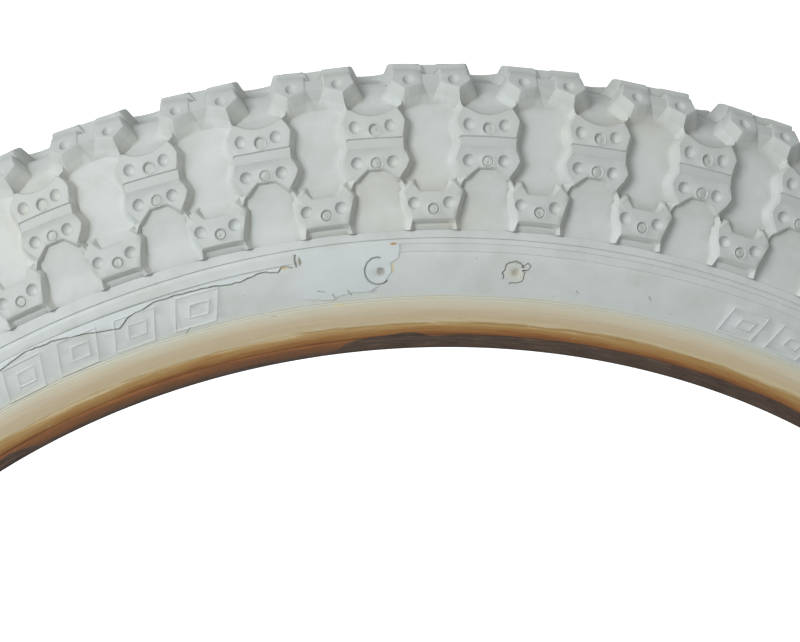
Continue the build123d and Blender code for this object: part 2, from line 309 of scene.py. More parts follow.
def pads(u, s):
    """Low ramps that fill the hollows and notches of the blocks, and the step under the edge block."""
    t = s / K
    xi = np.abs(((u - U_I + 0.5) % 1.0 - 0.5) * DEL * RHO_IU)
    xl = np.abs(((u - U_I + 0.5) % 1.0 - 0.5) * DEL * RHO_IL)
    xs = np.abs(((u - U_S + 0.5) % 1.0 - 0.5) * DEL * RHO_S)
    a = np.where(t < 12.0, np.minimum(1.9 * np.clip((t - 5.9) / 4.0, 0, 1) ** 1.3, np.clip(5.2 - xi, 0, 9) * 1.1), 0)
    b = np.where((t > 19.2), 1.75 * np.clip((27.5 - t) / 7.5, 0, 1) * np.clip((6.0 - xl) / 1.6, 0, 1), 0)
    c = np.where((t < 26.5), np.minimum(1.9 * np.clip((t - 21.8) / 2.8, 0, 1), np.clip(3.9 - xs, 0, 9) * 2.0), 0)
    d = np.where((t > 29.0), np.minimum(0.68 * np.clip((32.1 - t) / 0.9, 0, 1), np.clip(4.5 - xs, 0, 9) * 2.0), 0)
    return np.maximum(np.maximum(a, b), np.maximum(c, d))


def groove(u, s):
    """Drop of the band across the waist of the shoulder knob."""
    t = (s - 14.1 * K) / (1.65 * K)
    x = np.abs((u - U_I + 0.5) % 1.0 - 0.5)
    on = (x < 0.33)
    v = np.where((t > 0) & (t < 1), 0.34 * (1 - t) + 0.07, 0.0)
    v = np.where((t > -0.10) & (t <= 0), 0.41 * (1 + t / 0.10), v)
    v = np.where((t >= 1) & (t < 1.06), 0.07 * (1 - (t - 1) / 0.06), v)
    return np.where(on, v, 0.0)


def height(u, s):
    hs = [k.height(u, s) for k in KNOBS.values()]
    top = hs[0]
    for h in hs[1:]:
        top = np.maximum(top, h)
    top = np.maximum(top, pads(u, s))
    for r in RIDGES:
        top = smax(top, r.height(u, s), 0.12)
    drop = dent_drop(u, s) + groove(u, s)
    top = top - drop
    h = smax(top, np.zeros_like(top), 0.30) - 0.0
    # the mould's edge: ribs stop at the tread edge
    return h


def d_knob(u, s):
    out = None
    for n, k in KNOBS.items():
        if n == "cb":
            continue
        v = k.d(u, s)
        out = v if out is None else np.minimum(out, v)
    return out


def d_foot(u, s):
    out = None
    for n, k in KNOBS.items():
        v = k.d(u, s) - k.wall * (1.0 if n != "cb" else 1.0)
        out = v if out is None else np.minimum(out, v)
    for r in RIDGES:
        out = np.minimum(out, r.d(u, s))
    return out


# ------------------------------------------------------------------ contour lines of a grid
def contours(F, us, ss, level):
    """Marching squares: lists of (u, s) points. Ends lie on the grid's border or the line is closed."""
    V = F - level
    V = np.where(np.abs(V) < 1e-9, 1e-9, V)
    sgn = V > 0
    nxt = {}

    def pt(i, j, horiz):
        if horiz:
            a, b = V[i, j], V[i, j + 1]
            t = a / (a - b)
            return (us[i], ss[j] + t * (ss[j + 1] - ss[j]))
        a, b = V[i, j], V[i + 1, j]
        t = a / (a - b)
        return (us[i] + t * (us[i + 1] - us[i]), ss[j])

    cells = np.argwhere((sgn[:-1, :-1] != sgn[1:, :-1]) | (sgn[:-1, :-1] != sgn[:-1, 1:]) | (sgn[1:, 1:] != sgn[1:, :-1]) | (sgn[1:, 1:] != sgn[:-1, 1:]))
    segs = []
    for i, j in cells:
        e = []
        if sgn[i, j] != sgn[i + 1, j]:
            e.append((i, j, 0))
        if sgn[i + 1, j] != sgn[i + 1, j + 1]:
            e.append((i + 1, j, 1))
        if sgn[i, j + 1] != sgn[i + 1, j + 1]:
            e.append((i, j + 1, 0))
        if sgn[i, j] != sgn[i, j + 1]:
            e.append((i, j, 1))
        if len(e) == 2:
            segs.append((e[0], e[1]))
        elif len(e) == 4:
            segs.append((e[0], e[1]))
            segs.append((e[2], e[3]))
    for a, b in segs:
        nxt.setdefault(a, []).append(b)
        nxt.setdefault(b, []).append(a)
    seen = set()
    lines = []

    def walk(start):
        line = [start]
        seen.add(start)
        cur = start
        while True:
            n = [x for x in nxt[cur] if x not in seen]
            if not n:
                break
            cur = n[0]
            seen.add(cur)
            line.append(cur)
        return line

    for k in [k for k, v in nxt.items() if len(v) == 1]:
        if k not in seen:
            lines.append((walk(k), False))
    for k in list(nxt):
        if k not in seen:
            lines.append((walk(k), True))
    return [([pt(*k[:2], k[2] == 1) for k in l], closed) for l, closed in lines]


def simplify(pts, closed, tol, step, scale_u):
    """Douglas-Peucker in mm, then no edge longer than step."""
    P_ = np.array(pts)
    Q = P_.copy()
    Q[:, 0] *= scale_u
    n = len(P_)
    keep = np.zeros(n, bool)
    if closed:
        a = int(np.argmax(np.hypot(*(Q - Q.mean(0)).T)))
        P_ = np.roll(P_, -a, axis=0)
        Q = np.roll(Q, -a, axis=0)
        b = int(np.argmax(np.hypot(*(Q - Q[0]).T)))
        P_ = np.vstack([P_, P_[:1]])
        Q = np.vstack([Q, Q[:1]])
        stack = [(0, b), (b, n)]
        keep = np.zeros(n + 1, bool)
        keep[[0, b, n]] = True
    else:
        stack = [(0, n - 1)]
        keep[[0, n - 1]] = True
    while stack:
        i, j = stack.pop()
        if j - i < 2:
            continue
        d = Q[j] - Q[i]
        L = math.hypot(*d)
        w = Q[i + 1:j] - Q[i]
        dist = np.abs(w[:, 0] * d[1] - w[:, 1] * d[0]) / L if L > 1e-9 else np.hypot(*w.T)
        m = int(np.argmax(dist))
        if dist[m] > tol:
            keep[i + 1 + m] = True
            stack += [(i, i + 1 + m), (i + 1 + m, j)]
    idx = np.nonzero(keep)[0]
    out = []
    for a, b in zip(idx[:-1], idx[1:]):
        L = math.hypot(*(Q[b] - Q[a]))
        k = max(1, int(math.ceil(L / step)))
        for t in range(k):
            out.append(tuple(P_[a] + (P_[b] - P_[a]) * t / k))
    if not closed:
        out.append(tuple(P_[idx[-1]]))
    return out


def make_tile():
    """One pitch of one half of the tread: vertices (u, s), triangles. Left and right borders match."""
    NU, NS = 232, 330
    us = np.linspace(0, 1, NU + 1)
    ss = np.linspace(0, S_EDGE, NS + 1)
    U, S = np.meshgrid(us, ss, indexing="ij")
    U_ = U % 1.0
    W = DEL * 190.0                   # mm per pitch, about
    verts, edges = [], []

    def add_line(pts, closed):
        base = len(verts)
        verts.extend(pts)
        n = len(pts)
        for i in range(n - 1):
            edges.append((base + i, base + i + 1))
        if closed and n > 2:
            edges.append((base + n - 1, base))

    Dk = d_knob(U_, S)
    Df = d_foot(U_, S)
    for F, lv, tol, step in ((Dk, -0.17, 0.035, 1.6), (Dk, 0.10, 0.03, 1.6), (Df, -0.13, 0.04, 1.5), (Df, 0.30, 0.05, 1.5)):
        for pts, closed in contours(F, us, ss, lv):
            if len(pts) < 6:
                continue
            add_line(simplify(pts, closed, tol, step, W), closed)
    # where the ramps meet the blocks' walls, and where they start
    HP = pads(U_, S)
    HK = None
    for n_, k_ in KNOBS.items():
        v = k_.height(U_, S)
        HK = v if HK is None else np.maximum(HK, v)
    for r in RIDGES:
        HK = np.maximum(HK, r.height(U_, S))
    G = np.where((HP > 0.03) & (U > 0.05) & (U < 0.95), HP - np.maximum(HK, 0), -np.abs(HK) - 0.03)
    for pts, closed in contours(G, us, ss, 0.0):
        if len(pts) < 8:
            continue
        add_line(simplify(pts, closed, 0.05, 1.5, W), closed)
    n_lines = len(verts)
    # dents and marks
    extra_pts = []
    for key, u0, du, sc, R, dep, kind in DENTS:
        uc = (u0 + du) % 1.0
        rho = RHO_OF[key] * DEL
        rings = {"dent": ((1.1, 16), (0.995, 16), (0.9, 16), (0.66, 11), (0.33, 6)),
                 "deep": ((1.27, 14), (1.13, 16), (1.0, 16), (0.86, 16), (0.5, 9), (0.2, 4)),
                 "ring": ((1.27, 14), (1.13, 16), (1.01, 16), (0.88, 16), (0.74, 14), (0.45, 8), (0.2, 4))}[kind]
        for q, n in rings:
            pts = []
            for i in range(n):
                t = 2 * math.pi * i / n + q
                pts.append((uc + q * R * math.cos(t) / rho, sc * K + q * R * math.sin(t)))
            add_line(pts, True)
        extra_pts.append((uc, sc * K))
    # groove edges, out to the foot of the knob
    for sv in (14.1 * K - 0.16, 14.1 * K, 15.75 * K, 15.75 * K + 0.1):
        x = 0.247 * DEL * RHO_IU / (DEL * RHO_IU)
        n = 9
        add_line([(U_I - x + 2 * x * i / (n - 1), sv) for i in range(n)], False)
    # crests of the ribs
    for r in RIDGES:
        (ua, sa), (ub, sb) = r.a, r.b
        n = 4
        pts = [(ua + (ub - ua) * t / (n - 1), min(sa + (sb - sa) * t / (n - 1), S_EDGE - 0.02)) for t in range(n)]
        for off in (-1, 0, 1):
            q = [(u + off, s) for u, s in pts if 0.004 < u + off < 0.996]
            if len(q) >= 2:
                add_line(q, False)
    # fill points
    gy = np.arange(0.9, S_EDGE - 0.5, 1.45)
    for row, sv in enumerate(gy):
        rr = float(section(sv)[1]) * DEL
        n = max(8, int(round(rr / 1.65)))
        for i in range(n):
            u = (i + 0.5 * (row % 2) + 0.25) / n
            if not 0.02 < u < 0.98:
                continue
            extra_pts.append((u, float(sv)))
    ex = np.array(extra_pts)
    lv = np.array(verts)
    dk, df = d_knob(ex[:, 0] % 1.0, ex[:, 1]), d_foot(ex[:, 0] % 1.0, ex[:, 1])
    ok = (df > 0.75) | (dk < -0.6) | (pads(ex[:, 0] % 1.0, ex[:, 1]) > 0.2)
    dist = np.min(np.hypot((ex[:, None, 0] - lv[None, :, 0]) * W, ex[:, None, 1] - lv[None, :, 1]), axis=1)
    ok &= dist > 0.55
    pts = [tuple(p) for p, o in zip(extra_pts, ok) if o]
    verts.extend(pts)
    # borders: same s on both sides
    left = set()
    for i_, (u, s) in enumerate(verts):
        if u < 1e-7 or u > 1 - 1e-7:
            s = float(round(s, 4))
            verts[i_] = (0.0 if u < 0.5 else 1.0, s)
            left.add(s)
    bl = sorted(left | {0.0, round(S_EDGE, 4)})
    full = []
    for a, b in zip(bl[:-1], bl[1:]):
        k = max(1, int(math.ceil((b - a) / 1.4)))
        full += [float(round(a + (b - a) * t / k, 4)) for t in range(k)]
    full.append(bl[-1])
    keep = [full[0]]
    for v in full[1:]:
        if v - keep[-1] > 1e-4:
            keep.append(v)
    full = keep
    bottom = [i / 20 for i in range(1, 20)]
    ring = [(0.0, s) for s in full] + [(u, S_EDGE) for u in bottom] + [(1.0, s) for s in reversed(full)] + [(u, 0.0) for u in reversed(bottom)]
    base = len(verts)
    verts = [(min(max(u, 0.0), 1.0), s) for u, s in verts]
    verts += ring
    for i in range(len(ring)):
        edges.append((base + i, base + (i + 1) % len(ring)))
    vin = [Vector((u * W, s)) for u, s in verts]
    vo, eo, fo, _, _, _ = delaunay_2d_cdt(vin, edges, [], 0, 1e-4)
    VV = np.array([(v.x / W, v.y) for v in vo])
    F_ = [f for f in fo if len(f) == 3]
    tri = np.array(F_)
    return VV, tri


# ------------------------------------------------------------------ mesh helpers
def hash_noise(x, y, seed):
    """Smooth periodic-free value noise in 2-D, -1..1."""
    r = np.random.RandomState(seed)
    tab = r.uniform(-1, 1, (64, 64))
    xi, yi = np.floor(x).astype(int), np.floor(y).astype(int)
    fx, fy = x - xi, y - yi
    fx, fy = fx * fx * (3 - 2 * fx), fy * fy * (3 - 2 * fy)

    def g(i, j):
        return tab[i % 64, j % 64]
    return (g(xi, yi) * (1 - fx) + g(xi + 1, yi) * fx) * (1 - fy) + (g(xi, yi + 1) * (1 - fx) + g(xi + 1, yi + 1) * fx) * fy


def ring_noise(phi, s, n_phi, n_s, seed):
    """Noise that closes on itself round the tyre: n_phi cells per turn, n_s mm per cell across."""
    r = np.random.RandomState(seed)
    tab = r.uniform(-1, 1, (n_phi, 64))
    x = (phi / (2 * math.pi)) % 1.0 * n_phi
    y = s / n_s + 32.0
    xi, yi = np.floor(x).astype(int), np.floor(y).astype(int)
    fx, fy = x - xi, y - yi
    fx, fy = fx * fx * (3 - 2 * fx), fy * fy * (3 - 2 * fy)

    def g(i, j):
        return tab[i % n_phi, j % 64]
    return (g(xi, yi) * (1 - fx) + g(xi + 1, yi) * fx) * (1 - fy) + (g(xi, yi + 1) * (1 - fx) + g(xi + 1, yi + 1) * fx) * fy


def new_mesh(name, verts, faces, attrs=None, smooth=True, sharp=None, outward=None):
    """verts in mm, faces as lists of indices."""
    me = bpy.data.meshes.new(name)
    me.from_pydata((np.asarray(verts) * MM).tolist(), [], [list(map(int, f)) for f in faces])
    me.validate(verbose=False)
    me.update()
    vol = 0.0
    co = np.empty(len(me.vertices) * 3)
    me.vertices.foreach_get("co", co)
    co = co.reshape(-1, 3)
    me.calc_loop_triangles()
    lt = np.empty(len(me.loop_triangles) * 3, int)
    me.loop_triangles.foreach_get("vertices", lt)
    lt = lt.reshape(-1, 3)
    vol = float(np.einsum("ij,ij->i", co[lt[:, 0]], np.cross(co[lt[:, 1]], co[lt[:, 2]])).sum()) / 6
    if vol < 0:
        me.flip_normals()
    if attrs:
        for k, v in attrs.items():
            v = np.asarray(v, float)
            if v.ndim == 1:
                at = me.attributes.new(k, "FLOAT", "POINT")
                at.data.foreach_set("value", v)
            else:
                at = me.attributes.new(k, "FLOAT_VECTOR", "POINT")
                at.data.foreach_set("vector", v.reshape(-1))
    me.polygons.foreach_set("use_smooth", [smooth] * len(me.polygons))
    if sharp is not None:
        me.set_sharp_from_angle(angle=math.radians(sharp))
    ob = bpy.data.objects.new(name, me)
    bpy.context.scene.collection.objects.link(ob)
    return ob


def strip(ia, pa, ib, pb):
    """Triangles between two closed loops, by their angles (sorted)."""
    na, nb = len(ia), len(ib)
    out = []
    i = j = 0
    while i < na or j < nb:
        a1 = pa[(i + 1) % na] + (2 * math.pi if i + 1 >= na else 0)
        b1 = pb[(j + 1) % nb] + (2 * math.pi if j + 1 >= nb else 0)
        if j >= nb or (i < na and a1 <= b1):
            out.append((ia[i % na], ia[(i + 1) % na], ib[j % nb]))
            i += 1
        else:
            out.append((ia[i % na], ib[(j + 1) % nb], ib[j % nb]))
            j += 1
    return out


def build_tread(side):
    VV, tri = TILE
    u, s = VV[:, 0], VV[:, 1]
    n = len(VV)
    lefts = {round(b, 3): i for i, (a, b) in enumerate(zip(u, s)) if a < 1e-6}
    rights = {round(b, 3): i for i, (a, b) in enumerate(zip(u, s)) if a > 1 - 1e-6}
    if set(lefts) != set(rights):
        print("WARNING: tile borders differ", sorted(set(lefts) ^ set(rights))[:8])
    r2l = {i: lefts[k] for k, i in rights.items() if k in lefts}
    body = [i for i in range(n) if i not in r2l]
    pos = {v: k for k, v in enumerate(body)}
    nb = len(body)
    tl = np.array([pos.get(i, -1) for i in range(n)])
    nxt = np.array([pos[r2l[i]] if i in r2l else -1 for i in range(n)])
    tris = []
    for k in range(PITCHES):
        idx = np.where(tl >= 0, tl + k * nb, nxt + ((k + 1) % PITCHES) * nb)
        tris.append(idx[tri])
    tris = np.concatenate(tris)
    ub, sb = u[body], s[body]
    hb = height(ub % 1.0, np.minimum(sb, S_EDGE - 1e-4))
    fb = d_foot(ub % 1.0, sb)
    # grime and painted shade: strongest at the foot of the knobs' walls, fading up the walls and over the nearby
    # ground, and inside the round scars
    db = np.exp(-np.maximum(fb, 0) / 0.6) * np.clip(1.3 + np.minimum(fb, 0) / 1.2, 0, 1)
    db = np.maximum(db, 0.85 * in_mark(ub % 1.0, sb))
    U = np.concatenate([ub + k for k in range(PITCHES)])
    S = np.tile(sb, PITCHES)
    H = np.tile(hb, PITCHES)
    DI = np.tile(db, PITCHES)
    phi = (U - U_OFF) * DEL
    # the rubber is not quite even from knob to knob
    seed = 5 if side < 0 else 9
    inner = (S > 0.4) & (S < S_EDGE - 0.4)
    w = np.clip(np.minimum(S, S_EDGE - S) / 2.0, 0, 1)
    phi2 = phi + w * 0.10 * ring_noise(phi, S, 162, 6.0, seed) / 195.0
    S2_ = S + w * 0.12 * ring_noise(phi, S, 150, 5.0, seed + 1)
    lift = np.clip(H / 1.5, 0, 1) * 0.10 * ring_noise(phi, S, 108, 9.0, seed + 2) + 0.03 * ring_noise(phi, S, 500, 1.9, seed + 3)
    H2 = H + lift * np.clip(np.minimum(S, S_EDGE - S) / 1.0, 0.0, 1)
    H2 = H2 + in_mark(U % 1.0, S) * 0.16 * ring_noise(phi, S, 1620, 0.7, seed + 4)
    edge = S > S_EDGE - 1e-3
    H2 = np.where(edge & (H2 < 0.3), -0.10, H2)
    pts = place(phi2, S2_, H2, side)
    # loops at the mid-plane and at the tread edge
    E = np.concatenate([tris[:, [0, 1]], tris[:, [1, 2]], tris[:, [2, 0]]])
    key = np.sort(E, axis=1)
    uq, cnt = np.unique(key, axis=0, return_counts=True)
    bd = np.unique(uq[cnt == 1])
    mid = bd[S[bd] < 1e-3]
    edg = bd[S[bd] > S_EDGE - 1e-3]
    phin = np.mod(phi, 2 * math.pi)
    mid = mid[np.argsort(phin[mid])]
    edg = edg[np.argsort(phin[edg])]
    # inner skin: coarse rings at the depth of the tread base
    NR = 432
    pr = np.arange(NR) * 2 * math.pi / NR
    allp = [pts]
    sarr, harr, parr = [S], [H2], [phi]
    rings = []
    base = len(pts)
    svals = [0.0, 2.5, 5, 8, 11, 14, 17, 21, 25, 29, S_EDGE]
    for sv in svals:
        allp.append(place(pr, np.full(NR, sv), np.full(NR, -1.55), side))
        sarr.append(np.full(NR, sv)); harr.append(np.full(NR, -1.55)); parr.append(pr)
        rings.append(np.arange(NR) + base)
        base += NR
    faces = [tuple(t) for t in tris]
    rev = True
    f1 = strip(list(mid), phin[mid], list(rings[0]), pr)
    f2 = strip(list(edg), phin[edg], list(rings[-1]), pr)
    inner_f = []
    for a, b in zip(rings[:-1], rings[1:]):
        for i in range(NR):
            j = (i + 1) % NR
            inner_f.append((a[i], a[j], b[j], b[i]))
    # orient the tread's own triangles one way, the closing faces to match
    v0 = pts[tris[0]]
    nrm = np.cross(v0[1] - v0[0], v0[2] - v0[0])
    yy, rr, aa = section(S[tris[0][0]])
    ph = phi[tris[0][0]]
    out = np.array([math.cos(aa) * math.sin(ph), side * math.sin(aa), math.cos(aa) * math.cos(ph)])
    if nrm @ out < 0:
        faces = [(a, c, b) for a, b, c in faces]
    me_faces = faces + [tuple(f) for f in f1] + [tuple(f) for f in f2] + inner_f
    V_ = np.concatenate(allp)
    name = "tread_front_half" if side < 0 else "tread_rear_half"
    ob = new_mesh(name, V_, me_faces, {
        "sec": np.concatenate(sarr), "hgt": np.concatenate(harr), "grime_and_shade": np.concatenate([DI, np.zeros(len(V_) - len(DI))]),
        "ring": np.stack([np.cos(np.concatenate(parr)), np.sin(np.concatenate(parr)), np.concatenate(sarr)], -1)}, sharp=None)
    import bmesh
    bm = bmesh.new()
    bm.from_mesh(ob.data)
    bmesh.ops.recalc_face_normals(bm, faces=bm.faces)
    open_e = sum(1 for e in bm.edges if len(e.link_faces) != 2)
    bm.to_mesh(ob.data)
    bm.free()
    ob.data.set_sharp_from_angle(angle=math.radians(38))
    print(name, "faces", len(ob.data.polygons), "open edges", open_e)
    return ob


def revolve(name, prof, nseg, side, wobble=None, closed=True, sharp=30, attrs=True):
    """prof: list of (s, h) or ('yr', y, r) points, closed; wobble(phi, s, h) gives (ds, dh)."""
    ph = np.arange(nseg) * 2 * math.pi / nseg
    P_, S_, H_ = [], [], []
    for p in prof:
        if p[0] == "yr":
            _, y, r = p[:3]
            pts = np.stack([r * np.sin(ph), np.full(nseg, side * y), r * np.cos(ph)], -1)
            sv = np.full(nseg, p[3] if len(p) > 3 else 60.0)
            hv = np.zeros(nseg)
        else:
            sv = np.full(nseg, float(p[0]))
            hv = np.full(nseg, float(p[1]))
            if wobble is not None:
                ds, dh = wobble(ph, sv, hv)
                sv2, hv2 = sv + ds, hv + dh
            else:
                sv2, hv2 = sv, hv
            pts = place(ph, sv2, hv2, side)
        P_.append(pts); S_.append(sv); H_.append(hv)
    V_ = np.concatenate(P_)
    n = len(prof)
    faces = []
    for k in range(n if closed else n - 1):
        a, b = k * nseg, ((k + 1) % n) * nseg
        for i in range(nseg):
            j = (i + 1) % nseg
            faces.append((a + i, a + j, b + j, b + i))
    pp = np.tile(ph, n)
    ob = new_mesh(name, V_, faces, {"sec": np.concatenate(S_), "hgt": np.concatenate(H_),
                                     "ring": np.stack([np.cos(pp), np.sin(pp), np.concatenate(S_)], -1)}, sharp=sharp)
    return ob


TILE = make_tile()
print("tile", len(TILE[0]), "vertices", len(TILE[1]), "triangles")
treads = {sd: build_tread(sd) for sd in (-1, 1)}

# ------------------------------------------------------------------ side walls
def wall_wobble(ph, s, h):
    w = np.clip((s - S_EDGE - 0.5) / 1.5, 0, 1) * np.clip((S_STRIP - s) / 1.5, 0, 1)
    ds = w * (0.10 * ring_noise(ph, s * 0, 40, 8, 21) + 0.05 * ring_noise(ph, s, 160, 3, 22))
    dh = w * (0.05 * ring_noise(ph, s, 90, 5, 23) + 0.02 * ring_noise(ph, s, 420, 1.5, 24))
    return ds, dh * (h > -0.5)


def wall_profile():
    p = [(S_EDGE + 0.01, -0.10), (S_EDGE + 0.14, 0.0)]
    p += [(32.9, 0.0), (33.55, 0.03), (33.72, 0.03), (33.86, -0.22), (34.0, -0.24), (34.3, -0.10), (34.72, -0.08),
          (34.84, -0.08), (34.93, -0.2), (35.06, -0.1), (35.6, -0.08), (36.3, -0.06), (36.42, -0.06), (36.52, -0.18), (36.68, -0.12), (37.1, -0.04)]
    s = 37.8
    while s < 45.2:
        p.append((s, 0.0))
        s += 0.75
    p += [(45.55, 0.0), (45.66, -0.13), (45.8, -0.02), (46.1, 0.0), (46.22, -0.10), (46.36, 0.02), (46.9, 0.04), (47.6, 0.04), (48.3, 0.03), (49.0, 0.0),
          (49.55, -0.02), (49.75, 0.07), (49.95, -0.02), (50.5, 0.0), (51.1, 0.02), (51.6, 0.0), (51.8, -0.1), (52.0, 0.0), (52.6, 0.02), (53.2, 0.0),
          (53.8, -0.05), (54.2, -0.12), (54.5, -0.22), (S_STRIP, -0.42)]
    # inside, close over the plies
    q = [(S_STRIP, -0.58), (53.0, -0.58), (50.5, -0.6), (48.0, -0.75), (45.0, -0.9), (42.0, -0.95), (39.0, -0.95), (36.0, -0.95), (S_EDGE + 0.01, -0.95)]
    return p + q


RW = 180.0                       # mm per radian, to lay the wall out flat


def deg_pts(pts):
    return [(math.radians(p) * RW, q) for p, q in pts]


def seg_dist(X, Y, pts, closed=False):
    """Distance to a polyline."""
    out = np.full(X.shape, 1e9)
    n = len(pts)
    for i in range(n if closed else n - 1):
        (ax, ay), (bx, by) = pts[i], pts[(i + 1) % n]
        ex, ey = bx - ax, by - ay
        L2 = ex * ex + ey * ey + 1e-12
        t = np.clip(((X - ax) * ex + (Y - ay) * ey) / L2, 0, 1)
        out = np.minimum(out, np.hypot(X - ax - t * ex, Y - ay - t * ey))
    return out


def poly_in(X, Y, pts):
    c = np.zeros(X.shape, bool)
    n = len(pts)
    for i in range(n):
        (ax, ay), (bx, by) = pts[i], pts[(i + 1) % n]
        cond = ((ay > Y) != (by > Y)) & (X < (bx - ax) * (Y - ay) / (by - ay + 1e-12) + ax)
        c ^= cond
    return c


def jag(pts, step, amp, seed):
    """The same line with small teeth, like torn rubber."""
    r = np.random.RandomState(seed)
    out = [pts[0]]
    for (ax, ay), (bx, by) in zip(pts[:-1], pts[1:]):
        L = math.hypot(bx - ax, by - ay)
        k = max(1, int(L / step))
        for i in range(1, k + 1):
            t = i / k
            j = 0 if i == k else 1
            out.append((ax + (bx - ax) * t - (by - ay) / L * amp * r.uniform(-1, 1) * j, ay + (by - ay) * t + (bx - ax) / L * amp * r.uniform(-1, 1) * j))
    return out


def ring_pts(cx, cy, r, a0, a1, n, seed=None, amp=0.0):
    q = np.random.RandomState(seed) if seed is not None else None
    out = []
    for i in range(n + 1):
        t = math.radians(a0 + (a1 - a0) * i / n)
        rr = r + (q.uniform(-amp, amp) if q is not None else 0.0)
        out.append((cx + rr * math.cos(t), cy + rr * math.sin(t)))
    return out


# a thin skin of rubber that has partly peeled: (degrees, s)
TEAR = jag(deg_pts([(-29.8, 38.9), (-29.0, 38.7), (-26.8, 37.5), (-24.6, 37.95), (-22.4, 39.2), (-20.2, 40.6), (-19.4, 39.0), (-17.8, 38.0), (-17.4, 37.64), (-15.69, 37.68),
                    (-14.0, 37.76), (-12.08, 38.37), (-11.31, 38.2), (-10.35, 37.43), (-9.75, 37.33), (-8.97, 37.98), (-8.68, 36.98), (-7.96, 37.37)]), 0.8, 0.14, 3)
GASH = deg_pts([(-7.69, 35.0), (-7.74, 36.0), (-7.70, 37.3)])
FLAP_R = jag(deg_pts([(-0.85, 34.7), (-0.86, 36.0), (-1.0, 37.6), (-1.5, 38.5), (-1.46, 40.3), (-2.1, 42.6), (-2.9, 43.9), (-4.4, 44.1), (-5.2, 44.45),
                      (-5.6, 45.3), (-6.6, 44.6), (-7.9, 44.2)]), 0.9, 0.14, 4)
SOFT = deg_pts([(-7.9, 44.2), (-8.5, 43.0), (-8.4, 40.0), (-7.96, 37.37)])      # the skin's left side fades out
SKIN = TEAR + deg_pts([(-8.4, 40.0), (-8.5, 43.0)]) + FLAP_R[::-1] + deg_pts([(-7.5, 34.7), (-7.62, 36.8), (-10.4, 36.98), (-13.0, 37.06), (-17.4, 37.12), (-22.0, 37.2), (-26.8, 37.16), (-29.8, 37.2)])


def slanted(x0, s0, w, h, lean):
    """A plain slanted four-cornered outline."""
    return [(x0, s0), (x0 + w, s0), (x0 + w - lean, s0 + h), (x0 - lean, s0 + h)]


OUTLINES = []
for d0, s0, w, h in ((-29.6, 38.8, 9.0, 6.6), (-25.4, 38.6, 9.0, 6.6), (-21.2, 38.6, 9.0, 6.4), (-16.8, 38.3, 9.2, 6.4),
                     (21.6, 38.6, 8.2, 5.8), (25.4, 38.8, 8.2, 5.8)):
    x0 = math.radians(d0) * RW
    OUTLINES.append(slanted(x0 + 2.6, s0, w, h, 2.2))
    OUTLINES.append(slanted(x0 + 2.6 + 2.5, s0 + 1.9, w - 5.0, h - 3.8, 0.9))

CRACKS = [(TEAR, 0.22, 0.24), (GASH, 0.34, 0.36)]
p1 = deg_pts([(-2.39, 39.94)])[0]
p2 = deg_pts([(6.71, 40.44)])[0]
CRACKS += [
    (ring_pts(p1[0], p1[1], 2.75, 50, 285, 18, 1, 0.08), 0.26, 0.34),
    (ring_pts(p2[0] + 0.2, p2[1], 2.3, 150, 330, 13, 6, 0.3), 0.26, 0.32),
    (ring_pts(p2[0] + 0.2, p2[1], 2.2, -20, 110, 9, 7, 0.35), 0.24, 0.3),
    ([(p2[0] + 1.7, p2[1] - 1.2), (p2[0] + 2.9, p2[1] - 2.2), (p2[0] + 3.7, p2[1] - 1.7), (p2[0] + 3.2, p2[1] - 0.8), (p2[0] + 2.0, p2[1] - 0.6)], 0.2, 0.24),
]
for dd, ss_, dx, dy in ((-4.4, 43.9, 0.35, 0.5), (-9.8, 46.6, 0.5, 0.1), (11.3, 43.0, 0.3, 0.2), (-6.3, 43.0, 0.8, 0.25), (-5.5, 44.15, 0.2, 0.5), (-15.8, 45.2, 0.6, -0.5), (16.4, 41.6, 0.35, 0.3)):
    x = math.radians(dd) * RW
    CRACKS.append(([(x - dx, ss_ - dy), (x + dx, ss_ + dy)], 0.16, 0.16))
CRACKS.append((deg_pts([(-29.8, 37.16), (-26.8, 37.12), (-22.0, 37.16), (-17.4, 37.08), (-13.0, 37.02), (-10.4, 36.94), (-8.1, 36.8)]), 0.17, 0.085))   # edge of the band above the peeled skin
PITS = [(p1[0] + 0.6, p1[1] + 0.1, 1.15, 0.36), (p2[0] + 0.5, p2[1] - 0.1, 1.05, 0.38)]
for X_, S_P in ((4.2, 37.9), (15.2, 38.9), (-11.5, 41.2), (18.2, 43.7), (9.7, 44.6)):
    PITS.append((math.radians(X_) * RW, S_P, 0.2, 0.14))

WALL_P = wall_profile()
N_OUT = next(i for i, p in enumerate(WALL_P) if p[0] == S_STRIP and p[1] == -0.42) + 1
P_OUT = np.array(WALL_P[:N_OUT])


def skin_of(X, S):
    inside = poly_in(X, S, SKIN)
    d = seg_dist(X, S, SKIN, closed=True)
    soft = np.clip(seg_dist(X, S, SOFT) / 3.0, 0, 1)
    return np.where(inside, np.clip(d / 0.16, 0, 1) * soft, 0.0)


def wall_features(X, S, skin):
    h = 0.17 * skin
    for pts in OUTLINES:
        x0, x1 = min(p[0] for p in pts) - 1, max(p[0] for p in pts) + 1
        m = (X > x0) & (X < x1)
        if m.any():
            d = seg_dist(X[m], S[m], pts, closed=True)
            h[m] += 0.16 * np.clip(1 - d / 0.30, 0, 1)
    for pts, hw, dep in CRACKS:
        x0, x1 = min(p[0] for p in pts) - 1, max(p[0] for p in pts) + 1
        m = (X > x0) & (X < x1)
        if m.any():
            d = seg_dist(X[m], S[m], pts)
            h[m] -= dep * np.clip(1 - d / hw, 0, 1)
            h[m] += 0.05 * np.clip(1 - np.abs(d - hw * 1.5) / hw, 0, 1)
    for px, ps, r, dep in PITS:
        h -= dep * np.clip(1 - (np.hypot(X - px, S - ps) / r) ** 2, 0, 1)
    return h


